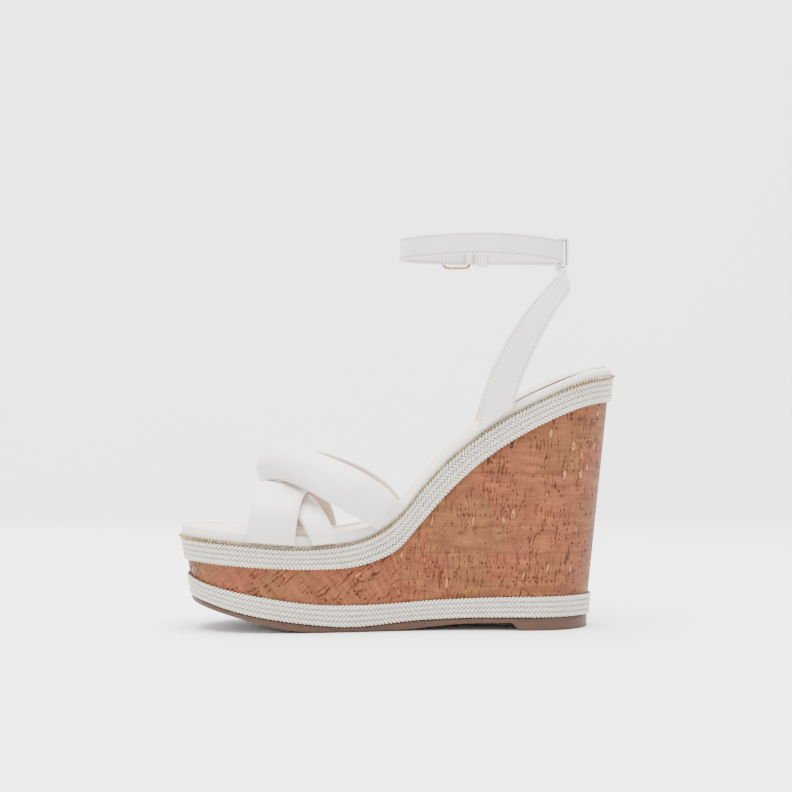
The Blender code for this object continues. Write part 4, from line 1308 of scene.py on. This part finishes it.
def ankle_path():
    """Points and half thicknesses from the fold round the buckle's bar to the strap's free end."""
    path, halves = [], []
    for degrees in range(-40, -300, -13):
        angle = math.radians(degrees)
        path.append(BAR + Vector((math.cos(angle), math.sin(angle), 0)) * BAR_WRAP)
        halves.append(0.45)
    path += [BAR + Vector((2.2, 1.0, 0)), BAR + Vector((4.2, 0.3, 0))]
    halves += [0.55, 0.8]
    turns = 144
    first, final = math.radians(80), math.radians(-297)
    for step in range(turns + 1):
        angle = first + (final - first) * step / turns
        lift = smooth([(-400, 2.5), (-275, 2.5), (-262, 3.4), (-243, 0.8), (-228, 0), (400, 0)],
                      math.degrees(angle))
        path.append(ankle_point(angle, lift))
        halves.append(STRAP_HALF)
    return path, halves


# %% Ankle strap, its tip and its thread
TIP_STATIONS = 6             # the free end rounds off over this many stations
FOLD_STATIONS = 26           # the thread starts after the fold round the bar
THREAD_UP = 4.75             # millimetres above and below the strap's middle line


def make_ankle_strap():
    """A strip swept along the path, with two rows of thread on each face."""
    path, halves = ankle_path()
    last = len(path) - 1
    sections, outs = [], []
    for index, point in enumerate(path):
        along = (path[min(index + 1, last)] - path[max(index - 1, 0)]).normalized()
        side = UP.cross(along).normalized()
        outs.append(side)
        tip = min((last - index) / TIP_STATIONS, 1.0)
        tall = HALF_TALL * (1 - (1 - tip) ** 2.2 * 0.75)
        sections.append([point + side * halves[index] * across + UP * tall * up for across, up in
                         ((-1, -0.94), (-1, -0.5), (-1, 0.0), (-1, 0.5), (-1, 0.94), (-0.55, 1.0),
                          (0.55, 1.0), (1, 0.94), (1, 0.5), (1, 0.0), (1, -0.5), (1, -0.94),
                          (0.55, -1.0), (-0.55, -1.0))])
    piece_from(sweep(sections), "ankle_strap_leather", white_leather, body="ankle_strap",
               stands_for=("ankle_strap",), crease=60)
    sewn = range(FOLD_STATIONS, last - 3)
    stitches = []
    for up in (-THREAD_UP, THREAD_UP):
        for face in (-1, 1):
            row = [path[i] + outs[i] * (halves[i] + 0.04) * face + UP * up for i in sewn]
            stitches += thread_row(row, [outs[i] * face for i in sewn])
    bm = bmesh.new()
    plant(bm, stitches)
    piece_from(bm, "ankle_strap_stitches", stitch_thread, body="ankle_strap", crease=180)


make_ankle_strap()
rounded_copy("strap_keeper", "ankle_strap", bevel=0.0003)

# %% [markdown]
# ## Buckle
# A small rounded wire frame in the same champagne gold turns on its rear bar, and so does the
# prong that goes through the strap. A bevelled curve would make a wire too. The frame's wires are
# right already and only look faceted, so they are copied and subdivided.

# %% Buckle
buckle_gold = gold_material("buckle_gold", 0.22)


def smoothed_copy(node):
    """A wire copy of a frame solid, with two levels of subdivision, on the body of its own name."""
    bm = bmesh.new()
    bm.from_mesh(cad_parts[node].data)
    bmesh.ops.remove_doubles(bm, verts=bm.verts, dist=WELD)
    bmesh.ops.join_triangles(bm, faces=bm.faces, angle_face_threshold=0.6, angle_shape_threshold=1.6)
    wire = piece_from(bm, node + "_wire", buckle_gold, body=node, stands_for=(node,), crease=180)
    finer = wire.modifiers.new("finer", "SUBSURF")
    finer.levels = finer.render_levels = 2


smoothed_copy("buckle_frame")
smoothed_copy("buckle_prong")

# %% [markdown]
# ## Hidden parts
# The core, the board, the steel shank and its fixings can't be seen in the finished shoe. They
# could be left plain. They still get their real surfaces, for anyone who takes the shoe apart,
# but no new shapes: the frame's own solids are shown with a finish on them.


# %% Materials of the hidden parts
def dress(node, mat):
    """Puts a material on a frame solid that is shown as it is."""
    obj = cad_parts[node]
    obj.data.materials.clear()
    obj.data.materials.append(mat)


def core_material():
    """Moulded foam plastic with a fine cell pattern."""
    mat, nodes, links, shader = new_material("moulded_core", (0.55, 0.52, 0.47), 0.8)
    foamed = pattern(nodes, links, "ShaderNodeTexVoronoi", object_points(nodes, links), Scale=900.0)
    tone = ramp(nodes, links, foamed.outputs["Distance"],
                [(0.2, (0.44, 0.41, 0.37)), (0.8, (0.60, 0.57, 0.52))])
    links.new(tone, shader.inputs["Base Color"])
    bump(nodes, links, shader, foamed.outputs["Distance"], 0.0003, 0.5)
    return mat


def board_material():
    """Brown fibre board. Its fibres lie along the shoe."""
    mat, nodes, links, shader = new_material("fibre_board", (0.33, 0.23, 0.15), 0.85)
    fibre = pattern(nodes, links, "ShaderNodeTexNoise", object_points(nodes, links, (120, 900, 900)),
                    Scale=1.0, Detail=4.0)
    tone = ramp(nodes, links, fibre.outputs["Fac"], [(0.3, (0.24, 0.16, 0.10)), (0.7, (0.42, 0.31, 0.21))])
    links.new(tone, shader.inputs["Base Color"])
    bump(nodes, links, shader, fibre.outputs["Fac"], 0.0002, 0.5)
    return mat


def steel_material():
    """Plain steel, brushed along the shoe."""
    mat, nodes, links, shader = new_material("shank_steel", (0.55, 0.55, 0.57), 0.35, 1.0)
    brushed = pattern(nodes, links, "ShaderNodeTexNoise", object_points(nodes, links, (60, 2500, 2500)),
                      Scale=1.0, Detail=3.0)
    links.new(window(nodes, links, brushed.outputs["Fac"], 0.3, 0.7, 0.25, 0.5), shader.inputs["Roughness"])
    bump(nodes, links, shader, brushed.outputs["Fac"], 0.00005, 0.5)
    return mat


# %% Hidden parts
dress("wedge_core", core_material())
dress("insole_board", board_material())
shank_steel = steel_material()
STEEL_NODES = ("shank", "shank_rivet_front", "shank_rivet_rear",
               "heel_screw_1", "heel_screw_2", "heel_screw_3")
for steel_node in STEEL_NODES:
    dress(steel_node, shank_steel)
print("hidden parts dressed:", 2 + len(STEEL_NODES))
